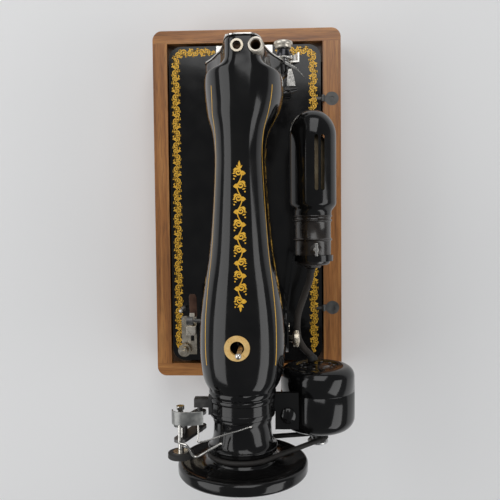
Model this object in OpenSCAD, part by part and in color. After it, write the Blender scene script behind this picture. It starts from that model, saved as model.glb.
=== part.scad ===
// Flatbed sewing machine head in a wooden base, with belt motor and lamp.
// Millimetres. Origin: centre of the wooden base's underside.
// +X towards the handwheel, +Y towards the rear, +Z up.

/* [Wooden base] */
// Outside length of the base
base_l = 410; // [400:1:430]
// Outside width of the base
base_w = 221; // [219:1:230]
// Height of the wooden walls
base_h = 62; // [60:1:84]
// Thickness of the floor board
floor_t = 5; // [3:0.5:8]
// Width of the front rail
rail_front = 17; // [14:0.5:18]
// Width of the rear rail, which carries the hinges
rail_rear = 21; // [19:0.5:22]
// Width of the two end rails
rail_end = 15; // [12:0.5:18]
// Radius of the base's outer corners
base_r = 11; // [6:0.5:14]

/* [Bed] */
// Gap between the bed and each end rail
bed_end_gap = 4.5; // [3.5:0.5:6]
// Gap between the bed and each long rail
bed_side_gap = 2.5; // [2:0.5:3.5]
// Corner radius of the bed
bed_r = 15; // [10:0.5:20]
// Thickness of the bed plate
bed_t = 6; // [5:0.5:8]
// Depth of the bed's rim below its top
bed_rim = 14; // [12:0.5:18]
// Thickness of the bed's rim wall
bed_wall = 5; // [4:0.5:7]
// Height of the bed's top above the wooden walls
bed_proud = 3; // [2.5:0.5:5]
// Distance between the two bed hinges
hinge_gap = 246; // [230:1:260]

/* [Arm casting] */
// Height of the shaft axis above the bed
axis_h = 165; // [163:0.5:168]
// Offset of the shaft and needle bar axis behind the bed's centre line
axis_y = 3.5; // [3:0.5:4]
// Face plate plane, left of the bed centre
face_x = 136; // [135:0.5:138]
// End of the arm's bearing boss, right of the bed centre
boss_x = 196; // [194:0.5:198]
// Radius of the bearing boss
boss_r = 29.5; // [28:0.5:31]
// Height of the arm's top above the shaft axis
arm_rise = 32.5; // [31:0.5:35]
// Clearance height under the head
head_low = 67; // [65:0.5:72]
// Depth of the arm's underside below the shaft axis
arm_drop = 34; // [31:0.5:40]
// Half width of the head
head_hw = 37; // [35:0.5:39]
// Half width of the arm's waist
waist_hw = 23.7; // [22:0.5:26]
// Half width of the pillar
pillar_hw = 41.5; // [40:0.5:44]
// Pillar centre, right of the bed centre
pillar_x = 135; // [133:0.5:137]
// Half length of the pillar
pillar_hl = 38; // [36:0.5:40]

/* [Shafts and bars] */
// Radius of the arm shaft
shaft_r = 7; // [6:0.5:8]
// Radius of the needle bar
needle_bar_r = 3.6; // [3:0.1:4]
// Radius of the presser bar
presser_bar_r = 3.6; // [3:0.1:4]
// Needle bar's distance left of the bed centre
needle_x = 128; // [127:0.5:129]
// Distance from the needle bar back to the presser bar
bar_gap = 16; // [15:0.5:17]
// Full stroke of the needle bar
needle_stroke = 31; // [28:1:32]
// Running clearance on a radius
run_c = 0.05; // [0.02:0.01:0.08]

/* [Handwheel and motor] */
// Outside radius of the handwheel
wheel_r = 59.7; // [56:0.5:62]
// Width of the handwheel's rim
rim_w = 10; // [8:0.5:12]
// Plane of the belt groove, right of the bed centre
belt_x = 232; // [231:0.5:233]
// Radius of the belt's centre line on the handwheel
belt_wheel_r = 31; // [30:0.5:33]
// Radius of the belt's centre line on the motor pulley
belt_motor_r = 8; // [7.5:0.5:9]
// Radius of the round belt
belt_cord_r = 2.4; // [2:0.1:2.6]
// Radius of the motor housing
motor_r = 36; // [33:0.5:36.5]
// Length of the motor housing
motor_l = 62; // [58:0.5:64]
// Motor axis behind the bed centre line
motor_y = 75; // [74:0.5:77]
// Motor axis below the shaft axis
motor_drop = 39; // [37:0.5:41]

/* [Lamp] */
// Outside radius of the lamp shade
shade_r = 23.3; // [21:0.1:24]
// Wall thickness of the lamp shade
shade_t = 1.2; // [1:0.1:2]
// Lamp axis behind the bed centre line
lamp_y = 72; // [71:0.5:73]
// Lamp axis below the shaft axis
lamp_drop = 55; // [50:0.5:60]
// Tip of the shade's dome, left of the bed centre
lamp_tip_x = 89; // [86:0.5:91]
// Length of the shade
shade_l = 104; // [100:0.5:108]
// Length of the lamp socket
socket_l = 52; // [48:0.5:54]

/* [Hidden] */
$fn = 64;
eps = 0.01;

open_l = base_l - 2 * rail_end;
open_w = base_w - rail_front - rail_rear;
bed_l = open_l - 2 * bed_end_gap;
bed_w = open_w - 2 * bed_side_gap;
arm_top = axis_h + arm_rise;
arm_low = axis_h - arm_drop;
motor_h = axis_h - motor_drop;
lamp_h = axis_h - lamp_drop;
bed_cy = (rail_front - rail_rear) / 2;
wood_top = base_h;
bed_z = wood_top + bed_proud;
floor_top = floor_t;
pad_w = 22;
bed_back = bed_w / 2;
tilt_y = bed_back + (open_w - bed_w) / 2;
tilt_h = 0.6;
presser_y = axis_y + bar_gap;

module on_bed() {
    translate([0, bed_cy, bed_z])
        children();
}

module along_x(x) {
    translate([x, 0, 0])
        rotate([0, 90, 0])
            children();
}

module along_y(y) {
    translate([0, y, 0])
        rotate([-90, 0, 0])
            children();
}

module at_shaft() {
    translate([0, axis_y, axis_h])
        children();
}

module rounded(l, w, r) {
    for (sx = [-1, 1])
        for (sy = [-1, 1])
            translate([sx * (l / 2 - r), sy * (w / 2 - r)])
                circle(r);
    square([l - 2 * r, w], center = true);
    square([l, w - 2 * r], center = true);
}

module tube(r_out, r_in, h) {
    difference() {
        cylinder(r = r_out, h = h);
        translate([0, 0, -1])
            cylinder(r = r_in, h = h + 2);
    }
}

// A wall section at one station of the casting: a rounded oblong in Y and Z.
// s = [x, centre y, half width at the bottom, half width at the top, z bottom, z top, squareness]
function lobe(a, e) = sign(a) * pow(abs(a), 2 / e);
function ring_x(s, n) = [
    for (i = [0:n - 1])
        let (c = lobe(cos(360 * i / n), s[6]), u = lobe(sin(360 * i / n), s[6]))
        [s[0], s[1] + c * (s[2] + (s[3] - s[2]) * (1 + u) / 2), (s[4] + s[5]) / 2 + u * (s[5] - s[4]) / 2]
];
// s = [z, centre x, half length, half width, squareness]
function ring_z(s, n) = [
    for (i = [0:n - 1])
        [s[1] + s[2] * lobe(cos(360 * i / n), s[4]), axis_y + s[3] * lobe(sin(360 * i / n), s[4]), s[0]]
];
function flat_list(v) = [for (a = v) for (b = a) b];

module loft(rings, flip) {
    n = len(rings[0]);
    m = len(rings);
    sides = [
        for (k = [0:m - 2])
            for (i = [0:n - 1])
                let (j = (i + 1) % n)
                for (f = [[k * n + i, (k + 1) * n + i, (k + 1) * n + j], [k * n + i, (k + 1) * n + j, k * n + j]])
                    flip ? [f[2], f[1], f[0]] : f
    ];
    first = [for (i = [0:n - 1]) flip ? n - 1 - i : i];
    last = [for (i = [0:n - 1]) (m - 1) * n + (flip ? i : n - 1 - i)];
    polyhedron(points = flat_list(rings), faces = concat([first], sides, [last]));
}

// ---- wooden base ----
module base_frame() color([0.45, 0.27, 0.15])
    difference() {
        linear_extrude(base_h)
            rounded(base_l, base_w, base_r);
        translate([0, bed_cy, -1])
            linear_extrude(base_h + 2)
                square([open_l, open_w], center = true);
        for (s = [-1, 1])
            translate([s * hinge_gap / 2, 0, base_h])
                hinge_pocket();
    }

hinge_disc_r = 8;
hinge_t = 2.5;
hinge_disc_y = tilt_y + 10.5;
hinge_neck = 7.4;
knuckle_r = 1.9;
pin_r = 1.1;
ear_x = 1.7;
ear_t = 2;
tongue_w = 3;
tongue_l = 10;

// Cut for one hinge leaf, with its top at z = 0
module hinge_pocket() {
    translate([0, bed_cy + hinge_disc_y, -hinge_t])
        cylinder(r = hinge_disc_r, h = hinge_t + 1);
    translate([-hinge_neck / 2, bed_cy + tilt_y - 4, -hinge_t])
        cube([hinge_neck, hinge_disc_y - tilt_y + 4, hinge_t + 1]);
}

module hinge_leaves() color([0.4, 0.4, 0.41])
    for (s = [-1, 1])
        translate([s * hinge_gap / 2, bed_cy, wood_top - hinge_t]) {
            difference() {
                union() {
                    translate([0, hinge_disc_y, 0])
                        cylinder(r = hinge_disc_r, h = hinge_t);
                    translate([-hinge_neck / 2, tilt_y, 0])
                        cube([hinge_neck, hinge_disc_y - tilt_y, hinge_t]);
                }
                translate([0, hinge_disc_y, hinge_t - 0.8])
                    cylinder(r = 3, h = 2);
            }
            for (x = [-ear_x - ear_t, ear_x])
                translate([x, tilt_y, hinge_t + bed_proud + tilt_h]) {
                    rotate([0, 90, 0])
                        cylinder(r = knuckle_r, h = ear_t);
                    translate([0, 0, -bed_proud - tilt_h])
                        cube([ear_t, knuckle_r, bed_proud + tilt_h]);
                }
            translate([-ear_x - ear_t, tilt_y, hinge_t + bed_proud + tilt_h])
                rotate([0, 90, 0])
                    cylinder(r = pin_r, h = 2 * (ear_x + ear_t));
        }

// ---- bed and what is let into it ----
plate_w = 66;
plate_t = 2;
needle_plate_l = 41;
plate_gap = 0.2;
window_edge = 3;
bed_left = -bed_l / 2;
slide_right = -needle_x - 17.5;
slide_l = slide_right - bed_left;
needle_plate_right = slide_right + plate_gap + needle_plate_l;
hook_h = -29.5;
race_r = 18;
race_wall = 3;
shuttle_l = 12;
shuttle_x = -needle_x - 1.6 - shuttle_l;
under_shaft_r = 5;
hanger_x = [-95, 60];
feed_y = axis_y + 9;

module hinge_tongues() color([0.42, 0.42, 0.43])
    on_bed()
        for (s = [-1, 1])
            translate([s * hinge_gap / 2, tilt_y, tilt_h])
                difference() {
                    union() {
                        translate([-tongue_w / 2, 0, 0])
                            rotate([0, 90, 0])
                                cylinder(r = knuckle_r, h = tongue_w);
                        translate([-tongue_w / 2, -tongue_l - tilt_y + bed_back, -knuckle_r - 1.2])
                            cube([tongue_w, tongue_l + tilt_y - bed_back - 0.6, knuckle_r + 1.2 - tilt_h]);
                    }
                    translate([-tongue_w, 0, 0])
                        rotate([0, 90, 0])
                            cylinder(r = pin_r + run_c, h = tongue_w * 2);
                }

module bed() color([0.05, 0.05, 0.055])
    on_bed()
        difference() {
            union() {
                translate([0, 0, -bed_t])
                    linear_extrude(bed_t)
                        rounded(bed_l, bed_w, bed_r);
                translate([0, 0, -bed_rim])
                    linear_extrude(bed_rim)
                        difference() {
                            rounded(bed_l, bed_w, bed_r);
                            rounded(bed_l - 2 * bed_wall, bed_w - 2 * bed_wall, bed_r - bed_wall);
                        }
                shuttle_race();
                for (x = hanger_x)
                    shaft_hanger(x);
            }
            translate([bed_left - 1, -plate_w / 2, -plate_t])
                cube([needle_plate_right - bed_left + 1, plate_w, plate_t + 1]);
            translate([bed_left + 8, -plate_w / 2 + 8, -bed_t - 1])
                cube([needle_plate_right - bed_left - 8 - window_edge, plate_w - 16, bed_t + 1]);
            translate([0, axis_y, hook_h])
                along_x(shuttle_x - 30)
                    cylinder(r = race_r + run_c, h = shuttle_l + 30 + eps);
            for (x = hanger_x)
                translate([0, axis_y, hook_h])
                    along_x(x - 10)
                        cylinder(r = under_shaft_r + run_c, h = 20);
            for (s = [-1, 1])
                translate([s * hinge_gap / 2 - tongue_w / 2, bed_back - tongue_l, -knuckle_r - 1.2 + tilt_h])
                    cube([tongue_w, tongue_l + 1, knuckle_r + 3]);
            for (p = pillar_bolts)
                translate([p[0], p[1], -bed_t - 1])
                    cylinder(r = 3.2, h = bed_t + 2);
        }

pillar_bolts = [for (sx = [-1, 1]) for (sy = [-1, 1]) [pillar_x + sx * 32, axis_y + sy * 30]];

module shuttle_race()
    translate([0, axis_y, hook_h]) {
        along_x(shuttle_x)
            cylinder(r = race_r + race_wall, h = shuttle_l);
        translate([shuttle_x, race_r - 2, 0])
            cube([shuttle_l, 14, -hook_h - plate_t - 1]);
        translate([shuttle_x, -race_r - 12, 0])
            cube([shuttle_l, 14, -hook_h - plate_t - 1]);
    }

module shaft_hanger(x)
    translate([x - 4, axis_y - 9, hook_h - 9])
        cube([8, 18, -hook_h + 9 - 1]);

module slide_plate() color([0.78, 0.78, 0.77])
    on_bed()
        translate([bed_left, -plate_w / 2 + 0.1, -plate_t])
            difference() {
                cube([slide_l, plate_w - 0.2, plate_t]);
                translate([6, plate_w / 2, plate_t - 0.8])
                    cylinder(r = 5, h = 2);
            }

module needle_plate() color([0.8, 0.8, 0.79])
    on_bed()
        translate([slide_right + plate_gap, -plate_w / 2 + 0.1, -plate_t])
            difference() {
                cube([needle_plate_l, plate_w - 0.2, plate_t]);
                translate([-needle_x - slide_right - plate_gap, plate_w / 2 - 0.1 + axis_y, -1])
                    cylinder(r = 1, h = plate_t + 2);
                for (s = [-1, 1])
                    translate([-needle_x - slide_right - plate_gap + s * 4 - 1.2, plate_w / 2 - 0.1 + feed_y - 9, -1])
                        cube([2.4, 18, plate_t + 2]);
                for (y = [8, plate_w - 8])
                    translate([needle_plate_l - 7, y, -1])
                        cylinder(r = 1.6, h = plate_t + 2);
            }

module base_floor() color([0.35, 0.22, 0.13])
    translate([0, bed_cy, 0])
        linear_extrude(floor_t)
            square([open_l, open_w], center = true);

// Blocks glued into the corners: the bed's rim stands on them
module bed_pads() color([0.4, 0.25, 0.14])
    for (sx = [-1, 1])
        for (sy = [-1, 1])
            translate([sx * (open_l / 2 - pad_w / 2), bed_cy + sy * (open_w / 2 - pad_w / 2), floor_top])
                linear_extrude(bed_z - bed_rim - floor_top)
                    square([pad_w, pad_w], center = true);

// ---- arm casting ----
bore_r = shaft_r + 4;
head_y = axis_y + 3;
arm_stations = [
    [-face_x, head_y, head_hw + 3, 18.5, head_low, arm_top - 2, 3],
    [-face_x + 9, head_y, head_hw + 3, 19.5, head_low - 1, arm_top, 3],
    [-face_x + 19, head_y, head_hw + 2, 23, head_low - 1, arm_top + 1, 3],
    [-face_x + 29, head_y, head_hw + 1, 33, head_low - 1, arm_top + 1, 2.8],
    [-face_x + 42, head_y, head_hw - 0.5, 34, head_low + 1, arm_top + 1, 2.6],
    [-face_x + 52, head_y - 0.5, head_hw - 2, 33.5, head_low + 8, arm_top + 1, 2.6],
    [-face_x + 62, head_y - 1.5, head_hw - 5, 31, head_low + 25, arm_top + 0.5, 2.5],
    [-face_x + 76, head_y - 2.5, waist_hw + 4, waist_hw + 3, arm_low - 11, arm_top, 2.4],
    [-face_x + 92, axis_y, waist_hw + 0.5, waist_hw + 0.3, arm_low - 1, arm_top - 0.5, 2.4],
    [-26, axis_y, waist_hw, waist_hw, arm_low + 1, arm_top - 0.5, 2.3],
    [12, axis_y, waist_hw + 2.5, waist_hw + 2.5, arm_low, arm_top - 0.5, 2.3],
    [50, axis_y, waist_hw + 7, waist_hw + 6, arm_low - 4, arm_top, 2.3],
    [80, axis_y, waist_hw + 12, waist_hw + 11, arm_low - 9, arm_top, 2.3],
    [110, axis_y, pillar_hw - 1, pillar_hw - 2, arm_low - 15, arm_top, 2.4],
    [140, axis_y, pillar_hw, pillar_hw - 1, arm_low - 15, arm_top, 2.4],
    [158, axis_y, pillar_hw - 2, pillar_hw - 3, arm_low - 11, arm_top - 0.5, 2.3],
    [169, axis_y, boss_r + 5, boss_r + 5, axis_h - boss_r - 6, axis_h + boss_r + 2, 2.1],
    [176, axis_y, boss_r, boss_r, axis_h - boss_r, axis_h + boss_r, 2],
    [boss_x, axis_y, boss_r, boss_r, axis_h - boss_r, axis_h + boss_r, 2]
];
pillar_stations = [
    [0, pillar_x - 1, pillar_hl + 11, pillar_hw + 4, 3.2],
    [5, pillar_x - 1, pillar_hl + 9, pillar_hw + 3, 3.2],
    [14, pillar_x, pillar_hl + 4, pillar_hw + 1, 3],
    [45, pillar_x, pillar_hl, pillar_hw - 1, 2.8],
    [90, pillar_x, pillar_hl + 1, pillar_hw, 2.7],
    [122, pillar_x - 1, pillar_hl + 4, pillar_hw, 2.6],
    [150, pillar_x - 3, pillar_hl + 2, pillar_hw - 2, 2.4]
];
ring_n = 40;
cavity_l = 40;
cavity_hw = 16.5;
pillar_wall = 6;
spool_x = 130;
spool_y = axis_y - 2.5;
cover_r = 27;
cover_z = 62;

module arm() color([0.04, 0.04, 0.045])
    on_bed()
        difference() {
            union() {
                loft([for (s = arm_stations) ring_x(s, ring_n)], false);
                loft([for (s = pillar_stations) ring_z(s, ring_n)], false);
                // seat of the tension unit
                translate([0, post_y, post_h])
                    along_x(-face_x)
                        cylinder(r1 = post_r + 7, r2 = post_r + 4, h = 12);
            }
            // tunnel for the shaft, the mechanism space in the head and the hollow pillar
            at_shaft()
                along_x(-face_x + cavity_l - 1)
                    cylinder(r = bore_r, h = face_x + boss_x);
            translate([-face_x - 1, axis_y - cavity_hw, head_low + 8])
                cube([cavity_l, cavity_hw * 2 + 9, arm_top - head_low - 17]);
            translate([-face_x - 1, axis_y - cavity_hw, head_low + 8])
                cube([cavity_l - 18, 5.5, arm_top - head_low - 17]);
            translate([pillar_x - pillar_hl + pillar_wall, axis_y - pillar_hw + 9, -1])
                cube([2 * (pillar_hl - pillar_wall), 2 * (pillar_hw - 9), axis_h - 20]);
            translate([0, axis_y, cover_z])
                along_y(0)
                    translate([pillar_x, 0, 0])
                        cylinder(r = cover_r - 4, h = 80);
            head_bores();
            translate([spool_x, spool_y, axis_h])
                cylinder(r = ring_in_r, h = 60);
            translate([spool_x, spool_y, arm_top - ring_h])
                cylinder(r = ring_out_r, h = 60);
            along_y(0)
                translate([screw_x, -screw_h, 0])
                    cylinder(r = 2.6, h = 80);
            lever_window();
            arm_seats();
            translate([lifter_x, presser_y + 5, lifter_h])
                along_y(0)
                    cylinder(r = lifter_r + run_c, h = 40);
            translate([oil_x, axis_y, axis_h + boss_r])
                cylinder(r = oil_r + run_c, h = 10);
        }

ring_out_r = 11.2;
ring_in_r = 6.2;
ring_h = 4;
screw_x = 136;
screw_h = 122;
guide_r = 5.5;
guide_in_r = needle_bar_r + run_c;
cap_r = 6.8;
cap_in_r = presser_bar_r + run_c;

// Vertical bores through the head for the two bars
module head_bores() {
    translate([-needle_x, axis_y, head_low - 5])
        cylinder(r = guide_r, h = 20);
    translate([-needle_x, axis_y, arm_top - 25])
        cylinder(r = guide_r, h = 40);
    translate([-needle_x, presser_y, head_low - 5])
        cylinder(r = guide_r, h = 20);
    translate([-needle_x, presser_y, arm_top - 25])
        cylinder(r = cap_r, h = 40);
}

// Slot in the front of the pillar for the stitch lever
lever_h = 60;
lever_slot = 34;
module lever_window()
    translate([reg_x - 3, axis_y - pillar_hw - 10, lever_h - lever_slot / 2])
        cube([6, 24, lever_slot]);

// Flat seats for the motor bracket and the winder bracket on the bearing boss
seat_y = boss_r - 3;
module arm_seats() {
    translate([177, axis_y + seat_y, axis_h - 30])
        cube([40, 20, 60]);
    translate([177, axis_y - seat_y - 20, axis_h - 30])
        cube([40, 20, 60]);
}

cover_t = 2.5;
module rear_cover() color([0.05, 0.05, 0.055])
    on_bed()
        translate([pillar_x, axis_y + pillar_hw + run_c, cover_z])
            along_y(0)
                difference() {
                    cylinder(r = cover_r, h = cover_t);
                    translate([0, 0, -1])
                        cylinder(r = 2.1, h = 5);
                }

// ---- face plate ----
face_t = 2.5;
face_pts = [
    [-13, arm_top - 14], [-7, arm_top - 5], [0, arm_top - 1.5], [14, arm_top - 1.5], [22, arm_top - 5],
    [25.5, 168], [28.5, 152], [33, 139], [38.5, 127], [46, 117], [53, 110], [55.5, 102], [53, 94],
    [46, 88], [40, 80], [36, head_low + 2], [-27, head_low + 2], [-30, 84], [-33.5, 97], [-33, 109],
    [-27.5, 119], [-22, 133], [-16, 148], [-14, 165]
];
face_screw_pts = [[-1, 186], [-20, 84]];
post_y = axis_y + 40.5;
post_h = 102;
post_r = 3;

module face_plate() color([0.82, 0.82, 0.81])
    on_bed()
        translate([-face_x - face_t, 0, 0])
            rotate([90, 0, 90])
                difference() {
                    linear_extrude(face_t)
                        polygon(face_pts);
                    for (p = concat(face_screw_pts, [[axis_y - 12, 0]]))
                        translate([p[0], p[1], -1])
                            cylinder(r = 1.8, h = face_t + 2);
                    translate([post_y, post_h, -1])
                        cylinder(r = post_r, h = face_t + 2);
                    translate([axis_y - 15, 100, -1])
                        cube([5, 62, face_t + 2]);
                }

screw_head_r = 3.2;
module cover_screws() color([0.75, 0.74, 0.7]) {
    on_bed() {
        for (p = face_screw_pts)
            translate([0, p[0], p[1]]) {
                along_x(-face_x - face_t - 1.6)
                    cylinder(r = screw_head_r, h = 1.6);
                along_x(-face_x - face_t - 0.5)
                    cylinder(r = 1.8, h = face_t + 0.5);
            }
        translate([pillar_x, axis_y + pillar_hw + run_c + cover_t, cover_z])
            along_y(0)
                cylinder(r = 5, h = 1.8);
        for (y = [8, plate_w - 8])
            translate([needle_plate_right - 7, y - plate_w / 2 + 0.1, -plate_t])
                cylinder(r = 1.6, h = plate_t);
    }
}

// ---- bushings ----
module head_bushings() color([0.78, 0.72, 0.6])
    on_bed() {
        translate([-needle_x, axis_y, head_low - 5])
            tube(guide_r, guide_in_r, 20);
        translate([-needle_x, axis_y, arm_top - 22])
            tube(guide_r, guide_in_r, 24);
        translate([-needle_x, presser_y, head_low - 5])
            tube(guide_r, cap_in_r, 20);
    }

bush_l = 26;
module shaft_bushings() color([0.6, 0.45, 0.25])
    on_bed()
        at_shaft() {
            along_x(boss_x - bush_l)
                tube(bore_r, shaft_r + run_c, bush_l);
            along_x(-face_x + cavity_l)
                tube(bore_r, shaft_r + run_c, bush_l);
        }

// ---- main shaft ----
crank_r = needle_stroke / 2;
crank_x = -face_x + cavity_l - 10;
hub_x = boss_x + 0.3;
hub_r = 27;
groove_w = 12;
wheel_x = 241;
shaft_end = wheel_x + 6;

module arm_shaft() color([0.7, 0.7, 0.7])
    on_bed()
        at_shaft()
            along_x(crank_x + 8)
                cylinder(r = shaft_r, h = shaft_end - crank_x - 8);

module needle_crank() color([0.62, 0.62, 0.62])
    on_bed()
        at_shaft() {
            difference() {
                along_x(crank_x)
                    cylinder(r = 14, h = 8);
                translate([crank_x - 1, -20, -20])
                    cube([4.5, 40, 12]);
            }
            translate([0, 0, 11])
                along_x(crank_x - 4)
                    cylinder(r = 2.5, h = 4);
        }

module handwheel() color([0.04, 0.04, 0.045])
    on_bed()
        at_shaft()
            along_x(0)
                rotate_extrude($fn = 96)
                    polygon([
                        [shaft_r, hub_x], [hub_r - 1, hub_x], [hub_r, hub_x + 1.5], [hub_r + 1, belt_x - 9],
                        [hub_r + 5, belt_x - 7], [hub_r + 5, belt_x - belt_cord_r - 0.8],
                        [belt_wheel_r - belt_cord_r - 0.3, belt_x - belt_cord_r + 0.6],
                        [belt_wheel_r - belt_cord_r - 0.3, belt_x + belt_cord_r - 0.6],
                        [hub_r + 5, belt_x + belt_cord_r + 0.8], [hub_r + 5, belt_x + 6],
                        [40, wheel_x - 1], [wheel_r - 8, wheel_x - 0.5], [wheel_r - 6, wheel_x - 2],
                        [wheel_r - 2, wheel_x - 2.5], [wheel_r, wheel_x], [wheel_r, wheel_x + rim_w - 4],
                        [wheel_r - 2.5, wheel_x + rim_w - 1], [wheel_r - 6, wheel_x + rim_w - 2],
                        [wheel_r - 8, wheel_x + 3], [38, wheel_x + 3], [knob_r + 2, wheel_x + 2],
                        [knob_r + 2, wheel_x - knob_deep], [shaft_r, wheel_x - knob_deep]
                    ]);

knob_r = 18;
knob_deep = 10;
module clutch_knob() color([0.75, 0.75, 0.74])
    on_bed()
        at_shaft()
            along_x(wheel_x - knob_deep)
                difference() {
                    union() {
                        cylinder(r = knob_r, h = 15);
                        translate([0, 0, 15])
                            cylinder(r1 = knob_r, r2 = knob_r - 4, h = 5);
                    }
                    translate([0, 0, -1])
                        cylinder(r = shaft_r + run_c, h = 18);
                }

// ---- needle bar group ----
bar_low = 50;
bar_top = arm_top - 4;
clamp_r = 6;

module needle_bar() color([0.72, 0.72, 0.72])
    on_bed() {
        translate([-needle_x, axis_y, bar_low])
            cylinder(r = needle_bar_r, h = bar_top - bar_low);
        // driving stud and link towards the crank
        translate([-needle_x, axis_y, 130])
            tube(clamp_r, needle_bar_r, 12);
        translate([-needle_x + clamp_r - 1, axis_y - 2.5, 131])
            cube([10, 5, 10]);
        translate([-needle_x + clamp_r + 4, axis_y - 3, 141])
            cube([4, 6, 12]);
    }

module needle_clamp() color([0.75, 0.75, 0.75])
    on_bed() {
        translate([-needle_x, axis_y, bar_low])
            tube(clamp_r - 0.5, needle_bar_r, 9);
        translate([-needle_x - clamp_r - 8, axis_y, bar_low + 4])
            along_x(0)
                cylinder(r = 2.2, h = 8.5);
        translate([-needle_x - clamp_r - 12, axis_y, bar_low + 4])
            along_x(0)
                cylinder(r = 4, h = 4);
    }

needle_tip = 14;
module needle() color([0.8, 0.8, 0.8])
    on_bed()
        translate([-needle_x, axis_y, needle_tip]) {
            cylinder(r1 = 0.15, r2 = 0.5, h = 5);
            translate([0, 0, 5])
                cylinder(r = 0.5, h = 12);
            translate([0, 0, 17])
                cylinder(r = 0.9, h = bar_low - needle_tip - 17);
        }

takeup_y = axis_y - 12.5;
takeup_x = -face_x + 20;
takeup_pivot = axis_h - 34;
takeup_reach = 34;
takeup_rise = 19;
module take_up_lever() color([0.78, 0.78, 0.78])
    on_bed()
        difference() {
            union() {
                translate([takeup_x, axis_y - cavity_hw, takeup_pivot])
                    along_y(0)
                        cylinder(r = 4, h = takeup_y + 2 - axis_y + cavity_hw);
                translate([0, takeup_y - 1, 0])
                    hull()
                        for (p = [[takeup_x, takeup_pivot], [takeup_x - takeup_reach, takeup_pivot + takeup_rise]])
                            translate([p[0], 0, p[1]])
                                along_y(0)
                                    cylinder(r = 2.4, h = 2, $fn = 32);
            }
            translate([takeup_x - takeup_reach, takeup_y - 3, takeup_pivot + takeup_rise])
                along_y(0)
                    cylinder(r = 1, h = 6);
        }

// ---- presser bar group ----
collar_h = 97;
collar_l = 9;
bar_end = arm_top - 30;
module presser_bar() color([0.72, 0.72, 0.72])
    on_bed() {
        translate([-needle_x, presser_y, 18])
            cylinder(r = presser_bar_r, h = bar_end - 18);
        translate([-needle_x, presser_y, collar_h])
            tube(clamp_r, presser_bar_r, collar_l);
        translate([-needle_x + 4.5, presser_y - 4, collar_h])
            cube([9, 8, 6]);
    }

foot_t = 1.6;
module presser_foot() color([0.8, 0.8, 0.8])
    on_bed() {
        difference() {
            union() {
                translate([-needle_x - 5, presser_y - 5, 20])
                    cube([10, 10, 16]);
                translate([-needle_x - 3, presser_y - bar_gap + 4, foot_t - 0.5])
                    cube([6, 8, 5]);
                translate([-needle_x - 3, presser_y - 6, foot_t - 0.5])
                    cube([6, 6, 22]);
                translate([-needle_x - 7, axis_y - 12, 0])
                    cube([14, 26, foot_t]);
            }
            translate([-needle_x, presser_y, 18])
                cylinder(r = presser_bar_r, h = 22);
            translate([-needle_x, axis_y, -1])
                cylinder(r = 1.4, h = 8);
            translate([-needle_x - 1.4, axis_y - 13, -1])
                cube([2.8, 13, 8]);
        }
        translate([-needle_x - 9.5, presser_y, 28])
            along_x(0)
                cylinder(r = 3.5, h = 4.5);
    }

spring_low = collar_h + collar_l + 0.2;
spring_top = arm_top - 23;
module presser_spring() color([0.55, 0.55, 0.55])
    on_bed()
        translate([-needle_x, presser_y, spring_low])
            tube(5.4, presser_bar_r + 0.4, spring_top - spring_low);

cap_h = 30;
module pressure_screw() color([0.85, 0.8, 0.7])
    on_bed()
        translate([-needle_x, presser_y, arm_top - 22])
            difference() {
                cylinder(r = cap_r - run_c, h = cap_h);
                translate([0, 0, 5])
                    cylinder(r = 4.3, h = cap_h);
                translate([0, 0, -1])
                    cylinder(r = 2.5, h = cap_h);
            }

lifter_x = -needle_x + 20;
lifter_h = 96;
lifter_r = 4;
module presser_lifter() color([0.06, 0.06, 0.06])
    on_bed()
        translate([lifter_x, 0, lifter_h]) {
            translate([0, presser_y - 3, 0])
                along_y(0)
                    cylinder(r = lifter_r, h = head_y + head_hw + 11 - presser_y);
            translate([-10.5, presser_y - 3, -3.3])
                cube([10, 6, 4]);
            translate([0, head_y + head_hw + 2, 0]) {
                hull() {
                    along_y(0)
                        cylinder(r = 5, h = 5);
                    translate([-9, 0, -27])
                        along_y(0)
                            cylinder(r = 4, h = 5);
                }
                hull() {
                    translate([-9, 0, -29])
                        along_y(0)
                            cylinder(r = 3.6, h = 5);
                    translate([-11, 13, -30])
                        along_y(0)
                            cylinder(r = 1.6, h = 1.5);
                }
            }
        }

// ---- thread tension unit on the face plate ----
disc_r = 12.5;
post_l = 26;
module tension_post() color([0.7, 0.7, 0.7])
    on_bed()
        translate([0, post_y, post_h]) {
            along_x(-face_x - post_l)
                cylinder(r = post_r, h = post_l);
        }

module tension_discs() color([0.85, 0.85, 0.84])
    on_bed()
        translate([0, post_y, post_h])
            for (k = [0:2])
                along_x(-face_x - face_t - 4.2 - k * 1.1)
                    tube(disc_r, post_r, 0.9);

module tension_springs() color([0.6, 0.6, 0.6])
    on_bed()
        translate([0, post_y, post_h]) {
            along_x(-face_x - face_t - 13)
                tube(6.5, post_r + 0.4, 6.5);
            along_x(-face_x - face_t - 3.2)
                tube(9, post_r + 0.6, 2.8);
            translate([-face_x - face_t - 2.6, -24, 3])
                cube([1.2, 18, 1.2]);
        }

dial_l = 11;
module tension_dial() color([0.85, 0.83, 0.78])
    on_bed()
        translate([0, post_y, post_h])
            along_x(-face_x - face_t - 13.2 - dial_l)
                difference() {
                    union() {
                        cylinder(r = 7.7, h = dial_l - 3);
                        translate([0, 0, dial_l - 3])
                            cylinder(r = 10, h = 3);
                    }
                    translate([0, 0, -1])
                        cylinder(r = post_r + run_c, h = dial_l + 2);
                }

module thread_guard() color([0.7, 0.7, 0.7])
    on_bed()
        translate([0, post_y, post_h])
            along_x(-face_x - 12)
                difference() {
                    cylinder(r = disc_r + 3.5, h = 12 - face_t);
                    translate([0, 0, -1])
                        cylinder(r = disc_r + 2, h = 12.5 - face_t - 1);
                    translate([0, 0, -1])
                        cylinder(r = 9.5, h = 20);
                    translate([-30, -40, -1])
                        cube([60, 42, 20]);
                    translate([-30, -20, -1])
                        cube([31, 40, 20]);
                }

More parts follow.
